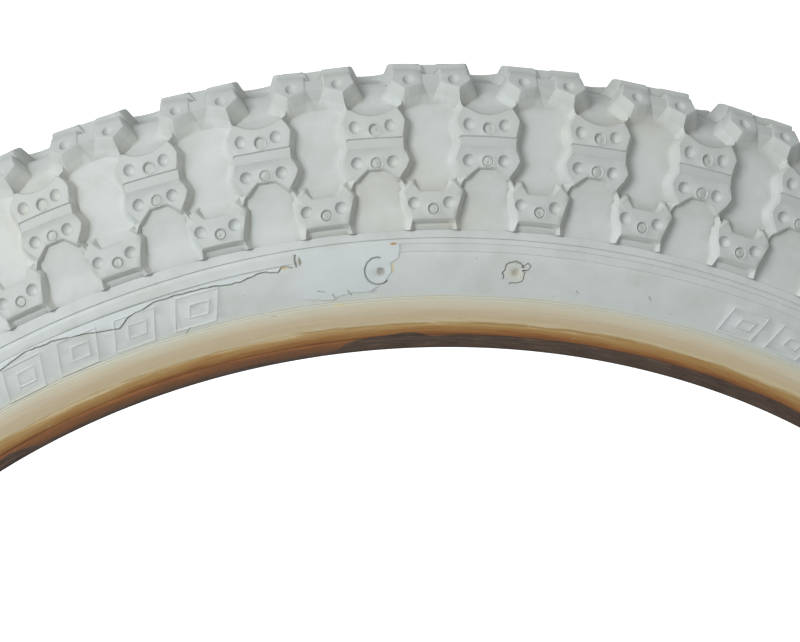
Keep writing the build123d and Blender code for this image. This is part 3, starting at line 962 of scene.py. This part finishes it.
def wall_height(phi, s, skin):
    """Moulded profile; the peeled skin hides the two upper lines, and the profile strays a little along the wall."""
    ph = np.degrees(phi)
    shift = 0.75 * np.clip((-ph - 2.0) / 24.0, 0, 1) * np.clip((s - S_EDGE - 0.3) / 1.0, 0, 1) * np.clip((44.0 - s) / 5.0, 0, 1)
    base = np.interp(s - shift, P_OUT[:, 0], P_OUT[:, 1])
    mid_ = (ph > -7.7) & (ph < -0.85) & (s - shift > 34.5) & (s < 38.0)
    left_ = (ph <= -7.7) & (ph > -31.0) & (s - shift > 34.5) & (s - shift < 36.0)
    return np.where(mid_ | left_, np.maximum(base, -0.03), base)


def front_wall():
    nseg, KC = 900, 80
    ph = np.arange(nseg) * 2 * math.pi / nseg
    verts, sec, hgt, par, skn, stn = [], [], [], [], [], []
    grid = -np.ones((len(WALL_P), nseg), int)
    count = 0

    def put(phi, s, h, sk_=0.0, st=0.0):
        nonlocal count
        phi, s, h = np.atleast_1d(phi).astype(float), np.atleast_1d(s).astype(float), np.atleast_1d(h).astype(float)
        n = len(phi)
        ds, dh = wall_wobble(np.mod(phi, 2 * math.pi), s, h)
        verts.append(place(phi, s + ds, h + dh, -1))
        sec.append(s); hgt.append(h); par.append(phi)
        skn.append(np.broadcast_to(sk_, n).astype(float)); stn.append(np.broadcast_to(st, n).astype(float))
        out = np.arange(count, count + n)
        count += n
        return out

    region = set(list(range(-KC + 1, KC)))
    for k, p in enumerate(WALL_P):
        cols = [c for c in range(nseg) if not (k not in (0, N_OUT - 1) and k < N_OUT and ((c < KC) or (c > nseg - KC)))]
        grid[k, cols] = put(ph[cols], np.full(len(cols), p[0]), np.full(len(cols), p[1]))
    faces = []
    nP = len(WALL_P)
    for k in range(nP):
        k2 = (k + 1) % nP
        outer_band = k < N_OUT - 1
        for i in range(nseg):
            j = (i + 1) % nseg
            if outer_band and ((i < KC) or (i >= nseg - KC)):
                continue
            faces.append((grid[k, i], grid[k, j], grid[k2, j], grid[k2, i]))
    # the part in front, with its tears and marks
    cols = list(range(-KC, KC + 1))
    xs = [math.radians(0.4 * c) * RW for c in cols]
    vin, known, edges = [], {}, []

    def add_pts(pts, closed=False):
        b = len(vin)
        vin.extend(pts)
        edges.extend((b + i, b + i + 1) for i in range(len(pts) - 1))
        if closed:
            edges.append((b + len(pts) - 1, b))
        return b
    top = [(x, P_OUT[0, 0]) for x in xs]
    right = [(xs[-1], v) for v in P_OUT[1:-1, 0]]
    bot = [(x, P_OUT[-1, 0]) for x in reversed(xs)]
    left = [(xs[0], v) for v in P_OUT[1:-1, 0][::-1]]
    add_pts(top + right + bot + left, closed=True)
    ids = [grid[0, c % nseg] for c in cols] + [grid[k, KC] for k in range(1, N_OUT - 1)] + [grid[N_OUT - 1, c % nseg] for c in reversed(cols)] + [grid[k, nseg - KC] for k in range(N_OUT - 2, 0, -1)]
    for i, g_ in enumerate(ids):
        known[i] = int(g_)
    nb = len(ids)
    shift_at = lambda x: 0.75 * min(max((-math.degrees(x / RW) - 2.0) / 24.0, 0), 1)
    for v in P_OUT[1:-1, 0]:
        line = []
        for x in xs[1:-1]:
            sh = shift_at(x) * min(max((v - S_EDGE - 0.3) / 1.0, 0), 1) * min(max((44.0 - v) / 5.0, 0), 1)
            line.append((x, v + sh))
        line = [(xs[0] + 0.6, line[0][1])] + line + [(xs[-1] - 0.6, line[-1][1])]
        step = 1 if (v < 37.5 or 45.3 < v < 46.6 or 49.4 < v < 50.1) else 2
        keepl = line[::step] if line[::step][-1] == line[-1] else line[::step] + [line[-1]]
        add_pts(keepl)
    # feature lines
    us = np.linspace(math.radians(-30.6) * RW, math.radians(30.6) * RW, 1500)
    ss = np.linspace(33.2, 47.6, 150)
    UU, SS = np.meshgrid(us, ss, indexing="ij")
    ins = poly_in(UU, SS, SKIN)
    dsk = seg_dist(UU, SS, SKIN, closed=True)
    F = np.where(ins, dsk, -dsk)
    for lv in (0.16, -0.005):
        for pts, closed in contours(F, us, ss, lv):
            if len(pts) > 8:
                q = simplify(pts, closed, 0.05, 2.0, 1.0)
                add_pts(q, closed)
    for pts in OUTLINES:
        add_pts(pts, True)
        cx, cy = sum(p[0] for p in pts) / 4, sum(p[1] for p in pts) / 4
        for f_ in (-0.3, 0.3):
            q = []
            n = 4
            for i in range(n):
                a_, b_, c_ = np.array(pts[i - 1]), np.array(pts[i]), np.array(pts[(i + 1) % n])
                d1, d2 = (b_ - a_) / np.linalg.norm(b_ - a_), (c_ - b_) / np.linalg.norm(c_ - b_)
                n1, n2 = np.array([d1[1], -d1[0]]), np.array([d2[1], -d2[0]])
                m_ = (n1 + n2) / (1 + n1 @ n2)
                q.append(tuple(b_ + m_ * f_))
            add_pts(q, True)
    for pts, hw, dep in CRACKS:
        add_pts(pts)
    Dc = np.full(UU.shape, 9.0)
    for pts, hw, dep in CRACKS:
        x0, x1 = min(p[0] for p in pts) - 1, max(p[0] for p in pts) + 1
        m = (UU > x0) & (UU < x1)
        Dc[m] = np.minimum(Dc[m], seg_dist(UU[m], SS[m], pts) - hw)
    for pts, closed in contours(Dc, us, ss, 0.0):
        if len(pts) > 6:
            add_pts(simplify(pts, closed, 0.05, 2.0, 1.0), closed)
    for px, ps, r, dep in PITS:
        for q_, n in (((1.0, 10), (0.55, 7)) if r > 0.3 else ((1.0, 6),)):
            add_pts([(px + q_ * r * math.cos(2 * math.pi * i / n), ps + q_ * r * math.sin(2 * math.pi * i / n)) for i in range(n)], True)
        vin.append((px, ps))
    lim = [(min(max(x, xs[0]), xs[-1]), min(max(v, P_OUT[0, 0]), P_OUT[-1, 0])) for x, v in vin]
    vo, eo, fo, ov, oe, of_ = delaunay_2d_cdt([Vector(p) for p in lim], edges, [], 0, 1e-4)
    print("front wall patch", len(vo), "vertices", len(fo), "faces")
    XX = np.array([v.x for v in vo])
    SV = np.array([v.y for v in vo])
    sk_ = skin_of(XX, SV)
    hh = wall_height(XX / RW, SV, sk_)
    edge_w = np.clip((xs[-1] - np.abs(XX)) / 3.0, 0, 1)
    ft = wall_features(XX, SV, sk_.copy())
    # painted shade: how deep the cracks and pits are cut, used to darken them
    st = np.clip(-(ft - 0.17 * sk_) / 0.22, 0, 1)
    new = put(XX / RW, SV, hh + ft * edge_w, sk_, st)
    mp = {}
    for i, o in enumerate(ov):
        kk = [known[x] for x in o if x in known]
        mp[i] = kk[0] if kk else int(new[i])
    for f in fo:
        g_ = [mp[i] for i in f]
        if len(set(g_)) == len(g_) >= 3:
            faces.append(tuple(g_))
    V_ = np.concatenate(verts)
    used = np.zeros(len(V_), bool)
    for f in faces:
        used[list(f)] = True
    idx = -np.ones(len(V_), int)
    idx[used] = np.arange(used.sum())
    faces = [tuple(int(idx[i]) for i in f) for f in faces]
    pa, sc_ = np.concatenate(par)[used], np.concatenate(sec)[used]
    ob = new_mesh("sidewall_skin_front", V_[used], faces, {
        "sec": sc_, "hgt": np.concatenate(hgt)[used], "skin": np.concatenate(skn)[used], "recess_shade": np.concatenate(stn)[used],
        "ring": np.stack([np.cos(pa), np.sin(pa), sc_], -1)})
    import bmesh
    bm = bmesh.new()
    bm.from_mesh(ob.data)
    bmesh.ops.recalc_face_normals(bm, faces=bm.faces)
    print("sidewall front open edges", sum(1 for e in bm.edges if len(e.link_faces) != 2), "faces", len(bm.faces))
    bm.to_mesh(ob.data)
    bm.free()
    ob.data.set_sharp_from_angle(angle=math.radians(30))
    return ob


walls = {-1: front_wall(), 1: revolve("sidewall_skin_rear", wall_profile(), 900, 1, wobble=wall_wobble)}

# ------------------------------------------------------------------ rim strips
def strip_profile():
    hr = 0.8
    c = (HALF_W - hr, R_SEAT + hr)
    pr = [("yr", HALF_W - 0.52, R_STRIP + 0.1, 54.2), ("yr", HALF_W - 0.32, R_STRIP - 0.15, 54.5), ("yr", HALF_W - 0.16, R_STRIP - 0.5, 54.8),
          ("yr", HALF_W - 0.04, R_STRIP - 1.2, 55.5), ("yr", HALF_W, R_STRIP - 2.0, 56.3)]
    for i in range(7):
        a = math.pi / 2 * i / 6
        pr.append(("yr", c[0] + hr * math.cos(a), c[1] - hr * math.sin(a), 56.8 + 0.25 * i))
    toe = 21.43
    pr += [("yr", HALF_W - 2.9, R_SEAT + 0.03, 59.0), ("yr", HALF_W - 3.6, R_SEAT, 59.7), ("yr", toe + 2.2, R_SEAT, 61.0)]
    for i in range(6):
        a = math.pi / 2 * i / 5
        pr.append(("yr", toe + 1.5 - 1.5 * math.sin(a), R_SEAT + 1.5 - 1.5 * math.cos(a), 62.0 + 0.4 * i))
    pr += [("yr", 21.50, 155.2, 64.5), ("yr", 21.60, 156.4, 65.5), ("yr", 21.95, 157.9, 67.0), ("yr", 22.33, 159.4, 68.5), ("yr", 22.45, 159.95, 69.0), ("yr", 22.62, 160.1, 69.2), ("yr", 22.92, 160.0, 69.5),
           ("yr", 22.6, 158.4, 70), ("yr", 22.28, 156.9, 70), ("yr", 22.2, 155.0, 70), ("yr", 23.2, 153.7, 70), ("yr", 24.8, 153.15, 70), ("yr", 26.4, 153.7, 70), ("yr", 27.4, 155.2, 70)]
    return pr


strips = {}
for sd, nm in ((-1, "rim_strip_front"), (1, "rim_strip_rear")):
    strips[sd] = revolve(nm, strip_profile(), 900, sd, sharp=50)

# ------------------------------------------------------------------ materials
def mat(name):
    m = bpy.data.materials.new(name)
    m.use_nodes = True
    nt = m.node_tree
    nt.nodes.clear()
    return m, nt


def node(nt, kind, **kw):
    n = nt.nodes.new(kind)
    for k, v in kw.items():
        if k.startswith("in_"):
            key = k[3:]
            key = int(key) if key.isdigit() else key.replace("_", " ")
            n.inputs[key].default_value = v
        else:
            setattr(n, k, v)
    return n


def srgb(r, g, b, a=1.0):
    def f(c):
        c /= 255.0
        return c / 12.92 if c <= 0.04045 else ((c + 0.055) / 1.055) ** 2.4
    return (f(r), f(g), f(b), a)


def ramp(nt, stops, interp="LINEAR"):
    n = nt.nodes.new("ShaderNodeValToRGB")
    cr = n.color_ramp
    cr.interpolation = interp
    while len(cr.elements) > 1:
        cr.elements.remove(cr.elements[-1])
    cr.elements[0].position = stops[0][0]
    cr.elements[0].color = stops[0][1]
    for p, c in stops[1:]:
        e = cr.elements.new(p)
        e.color = c
    return n


def math_node(nt, op, a, b=None, clamp=False):
    n = nt.nodes.new("ShaderNodeMath")
    n.operation = op
    n.use_clamp = clamp
    for i, v in enumerate((a, b)):
        if v is None:
            continue
        if isinstance(v, (int, float)):
            n.inputs[i].default_value = v
        else:
            nt.links.new(v, n.inputs[i])
    return n.outputs[0]


def mix_rgb(nt, fac, a, b, blend="MIX"):
    n = nt.nodes.new("ShaderNodeMix")
    n.data_type = "RGBA"
    n.blend_type = blend
    for sock, v in ((n.inputs["Factor"], fac), (n.inputs[6], a), (n.inputs[7], b)):
        if isinstance(v, (int, float, tuple)):
            sock.default_value = v
        else:
            nt.links.new(v, sock)
    return n.outputs[2]


def noise_tex(nt, vec, scale, detail=4, rough=0.55, dist=0.0):
    n = node(nt, "ShaderNodeTexNoise")
    n.inputs["Scale"].default_value = scale
    n.inputs["Detail"].default_value = detail
    n.inputs["Roughness"].default_value = rough
    n.inputs["Distortion"].default_value = dist
    nt.links.new(vec, n.inputs["Vector"])
    return n.outputs["Fac"]


def attr(nt, name, out="Fac"):
    n = node(nt, "ShaderNodeAttribute", attribute_name=name)
    return n.outputs[out]


def finish_mat(nt, color, rough, bump_h=None, bump_d=0.00004, bump_s=1.0, sheen=0.0, spec=0.35):
    p = node(nt, "ShaderNodeBsdfPrincipled")
    o = node(nt, "ShaderNodeOutputMaterial")
    nt.links.new(p.outputs[0], o.inputs[0])
    if isinstance(color, tuple):
        p.inputs["Base Color"].default_value = color
    else:
        nt.links.new(color, p.inputs["Base Color"])
    if isinstance(rough, float):
        p.inputs["Roughness"].default_value = rough
    else:
        nt.links.new(rough, p.inputs["Roughness"])
    p.inputs["Specular IOR Level"].default_value = spec
    if bump_h is not None:
        b = node(nt, "ShaderNodeBump")
        b.inputs["Strength"].default_value = bump_s
        b.inputs["Distance"].default_value = bump_d
        nt.links.new(bump_h, b.inputs["Height"])
        nt.links.new(b.outputs[0], p.inputs["Normal"])
    return p


WHITE = srgb(192, 197, 194)


def tread_material():
    m, nt = mat("white_tread_rubber")
    pos = node(nt, "ShaderNodeNewGeometry").outputs["Position"]
    big = noise_tex(nt, pos, 28.0, 3, 0.5)
    mid = noise_tex(nt, pos, 160.0, 4, 0.55)
    fine = noise_tex(nt, pos, 900.0, 3, 0.6)
    tiny = noise_tex(nt, pos, 2600.0, 2, 0.6)
    base = ramp(nt, [(0.30, srgb(186, 190, 185)), (0.52, WHITE), (0.75, srgb(197, 202, 200))])
    nt.links.new(mid, base.inputs[0])
    # faint yellowing in broad patches
    yel = ramp(nt, [(0.54, (0, 0, 0, 1)), (0.72, (1, 1, 1, 1))])
    nt.links.new(big, yel.inputs[0])
    c = mix_rgb(nt, math_node(nt, "MULTIPLY", yel.outputs[0], 0.35), base.outputs[0], srgb(204, 201, 184))
    # painted shade: the tops of the blocks are painted a shade greyer
    top = node(nt, "ShaderNodeMapRange")
    nt.links.new(attr(nt, "hgt"), top.inputs["Value"])
    top.inputs["From Min"].default_value = 1.75
    top.inputs["From Max"].default_value = 2.1
    c = mix_rgb(nt, math_node(nt, "MULTIPLY", top.outputs[0], 0.75), c, srgb(183, 187, 183))
    # specks of dirt
    sp = ramp(nt, [(0.66, (0, 0, 0, 1)), (0.74, (1, 1, 1, 1))])
    nt.links.new(fine, sp.inputs[0])
    c = mix_rgb(nt, math_node(nt, "MULTIPLY", sp.outputs[0], 0.16), c, srgb(150, 142, 125))
    # grime and painted shade on the knobs' walls, at their feet and in the scars; walls facing right, away from the key
    # light, are painted darkest, as painted shade
    nxyz = node(nt, "ShaderNodeSeparateXYZ")
    nt.links.new(node(nt, "ShaderNodeNewGeometry").outputs["Normal"], nxyz.inputs[0])
    right_wall_shade = math_node(nt, "ADD", math_node(nt, "MULTIPLY", nxyz.outputs[0], 0.9), 0.45, clamp=True)
    grime_and_shade = math_node(nt, "MULTIPLY", math_node(nt, "MULTIPLY", attr(nt, "grime_and_shade"), right_wall_shade), math_node(nt, "ADD", mid, 0.1))
    c = mix_rgb(nt, math_node(nt, "MULTIPLY", grime_and_shade, 0.7, clamp=True), c, srgb(152, 146, 126))
    h = math_node(nt, "ADD", math_node(nt, "MULTIPLY", fine, 0.7), math_node(nt, "MULTIPLY", tiny, 0.3))
    finish_mat(nt, c, 0.62, h, 0.00006, 0.8)
    return m


def wall_material(name, strip=False):
    m, nt = mat(name)
    geo = node(nt, "ShaderNodeNewGeometry")
    pos = geo.outputs["Position"]
    sec = attr(nt, "sec")
    ring = attr(nt, "ring", "Vector")
    # streaks run round the tyre: little change along it, quick change across
    mp = node(nt, "ShaderNodeMapping")
    mp.inputs["Scale"].default_value = (9.0, 9.0, 1.1)
    nt.links.new(ring, mp.inputs["Vector"])
    streak = noise_tex(nt, mp.outputs[0], 1.0, 6, 0.62, 0.4)
    mp2 = node(nt, "ShaderNodeMapping")
    mp2.inputs["Scale"].default_value = (26.0, 26.0, 3.4)
    nt.links.new(ring, mp2.inputs["Vector"])
    streak2 = noise_tex(nt, mp2.outputs[0], 1.0, 5, 0.6, 0.2)
    mid = noise_tex(nt, pos, 160.0, 4, 0.55)
    fine = noise_tex(nt, pos, 900.0, 3, 0.6)
    tiny = noise_tex(nt, pos, 2600.0, 2, 0.6)
    base = ramp(nt, [(0.30, srgb(186, 190, 185)), (0.52, WHITE), (0.75, srgb(197, 202, 200))])
    nt.links.new(mid, base.inputs[0])
    # the rim strip's own dark fabric
    mps = node(nt, "ShaderNodeMapping")
    mps.inputs["Scale"].default_value = (30.0, 30.0, 3.0)
    nt.links.new(ring, mps.inputs["Vector"])
    fab = noise_tex(nt, mps.outputs[0], 1.0, 6, 0.65, 0.3)
    sc_ = ramp(nt, [(0.28, srgb(58, 45, 38)), (0.46, srgb(74, 60, 50)), (0.6, srgb(85, 70, 60)), (0.78, srgb(120, 101, 84))])
    nt.links.new(fab, sc_.inputs[0])
    strip_col = sc_.outputs[0]
    # angle round the tyre, in degrees, -180 to 180
    sx = node(nt, "ShaderNodeSeparateXYZ")
    nt.links.new(ring, sx.inputs[0])
    deg = math_node(nt, "MULTIPLY", math_node(nt, "ARCTAN2", sx.outputs[1], sx.outputs[0]), 57.29578)
    degn = math_node(nt, "ADD", math_node(nt, "DIVIDE", deg, 64.0), 0.5, clamp=True)

    def along(points, lo, hi):
        """Piecewise-linear table of a number against the angle."""
        r_ = ramp(nt, [((d + 32.0) / 64.0, ((v - lo) / (hi - lo),) * 3 + (1,)) for d, v in points])
        nt.links.new(degn, r_.inputs[0])
        return math_node(nt, "ADD", math_node(nt, "MULTIPLY", r_.outputs[0], hi - lo), lo)
    # distance along the section, pushed about a little by the streaks
    off = math_node(nt, "MULTIPLY", math_node(nt, "SUBTRACT", streak, 0.5), 3.0)
    off2 = math_node(nt, "MULTIPLY", math_node(nt, "SUBTRACT", streak2, 0.5), 2.0)
    sv0 = math_node(nt, "ADD", math_node(nt, "ADD", sec, off), off2)
    shift = along([(-32, 0.0), (-28, 0.5), (-22, 0.4), (-16, 0.15), (-6, 0.1), (1, -0.25), (9, -0.35), (29, -0.3), (32, 0.0)], -1.0, 1.0)
    low = node(nt, "ShaderNodeMapRange")
    low.inputs["From Min"].default_value = 48.0
    low.inputs["From Max"].default_value = 53.0
    nt.links.new(sec, low.inputs["Value"])
    sv = math_node(nt, "SUBTRACT", sv0, math_node(nt, "MULTIPLY", shift, low.outputs[0]))
    S_A, S_B = 44.0, 57.0
    t = math_node(nt, "DIVIDE", math_node(nt, "SUBTRACT", sv, S_A), S_B - S_A, clamp=True)
    table = [(44.2, (196, 199, 192)), (46.0, (197, 197, 181)), (47.0, (200, 193, 171)), (48.0, (201, 189, 163)), (49.0, (194, 179, 151)), (50.0, (193, 176, 145)),
             (50.7, (190, 173, 140)), (51.2, (200, 184, 150)), (51.6, (186, 163, 120)), (52.0, (170, 141, 94)), (52.6, (163, 127, 76)), (53.2, (155, 115, 66)), (54.0, (141, 93, 49)),
             (54.6, (126, 81, 48)), (55.2, (112, 74, 46)), (56.0, (98, 70, 49)), (57.0, (86, 68, 56))]
    amber = ramp(nt, [((q - S_A) / (S_B - S_A), srgb(*c_)) for q, c_ in table])
    nt.links.new(t, amber.inputs[0])
    on = ramp(nt, [(0.0, (0, 0, 0, 1)), (0.14, (1, 1, 1, 1))])
    nt.links.new(t, on.inputs[0])
    # the peeled skin is a touch lighter and cooler
    base_c = mix_rgb(nt, math_node(nt, "MULTIPLY", attr(nt, "skin"), 0.7), base.outputs[0], srgb(197, 203, 203))
    c = mix_rgb(nt, on.outputs[0], base_c, amber.outputs[0])
    # pale flecks of thread in the stained band
    mp3 = node(nt, "ShaderNodeMapping")
    mp3.inputs["Scale"].default_value = (60.0, 60.0, 2.2)
    nt.links.new(ring, mp3.inputs["Vector"])
    fl = noise_tex(nt, mp3.outputs[0], 1.0, 2, 0.5)
    flm = ramp(nt, [(0.70, (0, 0, 0, 1)), (0.76, (1, 1, 1, 1))])
    nt.links.new(fl, flm.inputs[0])
    band = ramp(nt, [(0.30, (0, 0, 0, 1)), (0.42, (1, 1, 1, 1)), (0.66, (1, 1, 1, 1)), (0.74, (0, 0, 0, 1))])
    nt.links.new(t, band.inputs[0])
    c = mix_rgb(nt, math_node(nt, "MULTIPLY", math_node(nt, "MULTIPLY", flm.outputs[0], band.outputs[0]), 0.75), c, srgb(212, 204, 182))
    # dark cement from the rim strip, with one patch that reaches higher
    edge = along([(-32, 55.0), (-29.5, 56.6), (-6.4, 56.6), (-5.6, 56.2), (-5.0, 55.1), (-4.2, 54.7), (-3.3, 54.25), (-2.2, 54.1), (-1.05, 53.8), (0.05, 53.7), (0.7, 54.2), (1.3, 54.7), (4.0, 54.5), (9.0, 54.3), (20.0, 54.5), (29.5, 54.4), (32.0, 55.0)], 53.0, 57.0)
    rag = math_node(nt, "MULTIPLY", math_node(nt, "SUBTRACT", mid, 0.5), 0.9)
    over = math_node(nt, "SUBTRACT", math_node(nt, "ADD", sec, rag), edge)
    om = node(nt, "ShaderNodeMapRange")
    om.inputs["From Min"].default_value = -0.10
    om.inputs["From Max"].default_value = 0.08
    nt.links.new(over, om.inputs["Value"])
    c = mix_rgb(nt, om.outputs[0], c, strip_col)
    # painted shade in the tears, cracks and pits, darker where they are cut deeper, and as a dark grey-brown streak
    # along the gash; a brown spot, faint yellow stains
    c = mix_rgb(nt, math_node(nt, "MULTIPLY", attr(nt, "recess_shade"), 0.55, clamp=True), c, srgb(118, 112, 98))

    def spot(d0, s0, rx, ry):
        dx = math_node(nt, "DIVIDE", math_node(nt, "MULTIPLY", math_node(nt, "SUBTRACT", deg, d0), 3.14), rx)
        dy = math_node(nt, "DIVIDE", math_node(nt, "SUBTRACT", sec, s0), ry)
        q = math_node(nt, "SQRT", math_node(nt, "ADD", math_node(nt, "MULTIPLY", dx, dx), math_node(nt, "MULTIPLY", dy, dy)))
        q = math_node(nt, "ADD", q, math_node(nt, "MULTIPLY", math_node(nt, "SUBTRACT", fine, 0.5), 1.2))
        m_ = node(nt, "ShaderNodeMapRange")
        m_.inputs["From Min"].default_value = 1.15
        m_.inputs["From Max"].default_value = 0.6
        nt.links.new(q, m_.inputs["Value"])
        return m_.outputs[0]
    for d0, s0, rx, ry, col_, k_ in ((-1.3, 34.7, 0.75, 0.28, (168, 128, 72), 0.9), (-8.6, 37.2, 0.9, 0.35, (196, 176, 128), 0.7), (-1.4, 39.4, 0.35, 1.2, (205, 190, 140), 0.6),
                                     (-7.45, 36.3, 0.35, 1.0, (120, 116, 92), 0.8), (-5.2, 46.3, 1.6, 0.5, (206, 196, 160), 0.7), (6.9, 40.4, 2.4, 1.8, (196, 190, 170), 0.4)):
        c = mix_rgb(nt, math_node(nt, "MULTIPLY", spot(d0, s0, rx, ry), k_), c, srgb(*col_))
    sp = ramp(nt, [(0.68, (0, 0, 0, 1)), (0.76, (1, 1, 1, 1))])
    nt.links.new(fine, sp.inputs[0])
    c = mix_rgb(nt, math_node(nt, "MULTIPLY", sp.outputs[0], 0.12), c, srgb(150, 142, 125))
    h = math_node(nt, "ADD", math_node(nt, "MULTIPLY", fine, 0.7), math_node(nt, "MULTIPLY", tiny, 0.3))
    if strip:
        weave = noise_tex(nt, pos, 1500.0, 2, 0.6)
        finish_mat(nt, c, 0.75, weave, 0.0001, 0.8)
    else:
        finish_mat(nt, c, 0.58, h, 0.00005, 0.7)
    return m


def cord_material(name, light, dark):
    m, nt = mat(name)
    pos = node(nt, "ShaderNodeNewGeometry").outputs["Position"]
    n1 = noise_tex(nt, pos, 120.0, 4, 0.6)
    c = ramp(nt, [(0.3, dark), (0.7, light)])
    nt.links.new(n1, c.inputs[0])
    w = node(nt, "ShaderNodeTexWave", wave_type="BANDS")
    w.inputs["Scale"].default_value = 420.0
    w.inputs["Distortion"].default_value = 0.3
    nt.links.new(pos, w.inputs["Vector"])
    finish_mat(nt, c.outputs[0], 0.8, w.outputs["Fac"], 0.00012, 0.6)
    return m


def plain_material(name, a, b, rough, metal=0.0, scale=200.0):
    m, nt = mat(name)
    pos = node(nt, "ShaderNodeNewGeometry").outputs["Position"]
    n1 = noise_tex(nt, pos, scale, 4, 0.6)
    c = ramp(nt, [(0.3, a), (0.7, b)])
    nt.links.new(n1, c.inputs[0])
    p = finish_mat(nt, c.outputs[0], rough, n1, 0.00004, 0.5)
    p.inputs["Metallic"].default_value = metal
    return m


M_TREAD = tread_material()
M_WALL = wall_material("white_sidewall_rubber")
M_STRIP = wall_material("dark_rim_strip_fabric", True)
M_PLY_IN = cord_material("inner_ply_cord", srgb(190, 178, 150), srgb(160, 146, 116))
M_PLY_OUT = cord_material("outer_ply_cord", srgb(196, 172, 128), srgb(168, 142, 98))
M_FILL = plain_material("dark_filler_rubber", srgb(46, 44, 42), srgb(66, 62, 58), 0.6)
M_COAT = plain_material("black_core_rubber", srgb(24, 24, 24), srgb(40, 38, 37), 0.55)
M_WIRE = plain_material("bronzed_steel_wire", srgb(150, 118, 70), srgb(186, 156, 104), 0.35, 1.0, 900.0)

for sd in (-1, 1):
    end = "front" if sd < 0 else "rear"
    for ob, m, nd, sl in ((treads[sd], M_TREAD, "tread", "tread_rubber"), (walls[sd], M_WALL, "sidewall_" + end, "sidewall_rubber"),
                          (strips[sd], M_STRIP, "chafer_" + end, "rim_strip_fabric")):
        ob.data.materials.append(m)
        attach(ob, "root")
        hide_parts(nd)
for nd, m in (("outer_ply", M_PLY_OUT), ("inner_ply", M_PLY_IN), ("bead_filler_front", M_FILL), ("bead_filler_rear", M_FILL),
              ("bead_coat_front", M_COAT), ("bead_coat_rear", M_COAT), ("bead_wires_front", M_WIRE), ("bead_wires_rear", M_WIRE)):
    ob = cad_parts.get(nd)
    if ob is not None:
        if len(ob.data.materials) == 0:
            ob.data.materials.append(m)
        for i in range(len(ob.data.materials)):
            ob.data.materials[i] = m

# ------------------------------------------------------------------ stage
def stage():
    z0 = CAD_BOX[0][2] if CAD_BOX else -0.2017
    me = bpy.data.meshes.new("floor")
    a = 6.0
    me.from_pydata([(-a, -a, z0), (a, -a, z0), (a, a, z0), (-a, a, z0)], [], [(0, 1, 2, 3)])
    ob = bpy.data.objects.new("floor", me)
    bpy.context.scene.collection.objects.link(ob)
    m, nt = mat("pale_floor")
    p = finish_mat(nt, (0.55, 0.56, 0.56, 1), 0.9, spec=0.1)
    # the floor brightens to white behind the tyre, as a lit studio sweep does
    sep = node(nt, "ShaderNodeSeparateXYZ")
    nt.links.new(node(nt, "ShaderNodeNewGeometry").outputs["Position"], sep.inputs[0])
    g = node(nt, "ShaderNodeMapRange", interpolation_type="SMOOTHSTEP")
    g.inputs["From Min"].default_value = 0.08
    g.inputs["From Max"].default_value = 0.32
    g.inputs["To Min"].default_value = 0.0
    g.inputs["To Max"].default_value = 0.95
    nt.links.new(sep.outputs["Y"], g.inputs["Value"])
    p.inputs["Emission Color"].default_value = (1, 1, 1, 1)
    nt.links.new(g.outputs[0], p.inputs["Emission Strength"])
    me.materials.append(m)
    w = bpy.data.worlds.new("world")
    bpy.context.scene.world = w
    w.use_nodes = True
    bg = w.node_tree.nodes["Background"]
    bg.inputs[0].default_value = (0.93, 0.97, 1.0, 1)
    bg.inputs[1].default_value = 0.44

    def area(name, at, to, size, power, color=(1, 1, 1)):
        l = bpy.data.lights.new(name, "AREA")
        l.shape = "DISK"
        l.size = size
        l.energy = power
        l.color = color
        o = bpy.data.objects.new(name, l)
        o.location = at
        o.rotation_euler = (Vector(to) - Vector(at)).to_track_quat("-Z", "Y").to_euler()
        bpy.context.scene.collection.objects.link(o)
    c = Vector((0, -0.02, 0.175))
    area("key", c + 1.5 * Vector((-0.53, -0.53, 0.66)), c, 0.7, 15.0)
    area("left", c + 1.5 * Vector((-0.93, -0.30, 0.22)), c, 1.0, 3.7)
    area("right", c + 1.6 * Vector((0.80, -0.52, 0.30)), c, 1.2, 1.8)


stage()

cam = bpy.data.cameras.new("camera")
cam.sensor_width = 36.0
cam.lens = 112.5
cam.clip_start = 0.01
cam.clip_end = 50
cam_ob = bpy.data.objects.new("camera", cam)
bpy.context.scene.collection.objects.link(cam_ob)
right = Vector((0.99712, -0.07582, 0.0)).normalized()
up = Vector((0.03793, 0.49877, 0.86590))
fwd = right.cross(up) * -1.0
up = (up - right * up.dot(right)).normalized()
back = right.cross(up)
R_ = Matrix((right, up, back)).transposed()
cam_ob.matrix_world = Matrix.Translation(Vector((-35.58, -458.30, 408.44)) * MM) @ R_.to_4x4()
bpy.context.scene.camera = cam_ob
vs = bpy.context.scene.view_settings
vs.view_transform = "Standard"
vs.look = "None"
vs.exposure = 0.0
vs.gamma = 1.0

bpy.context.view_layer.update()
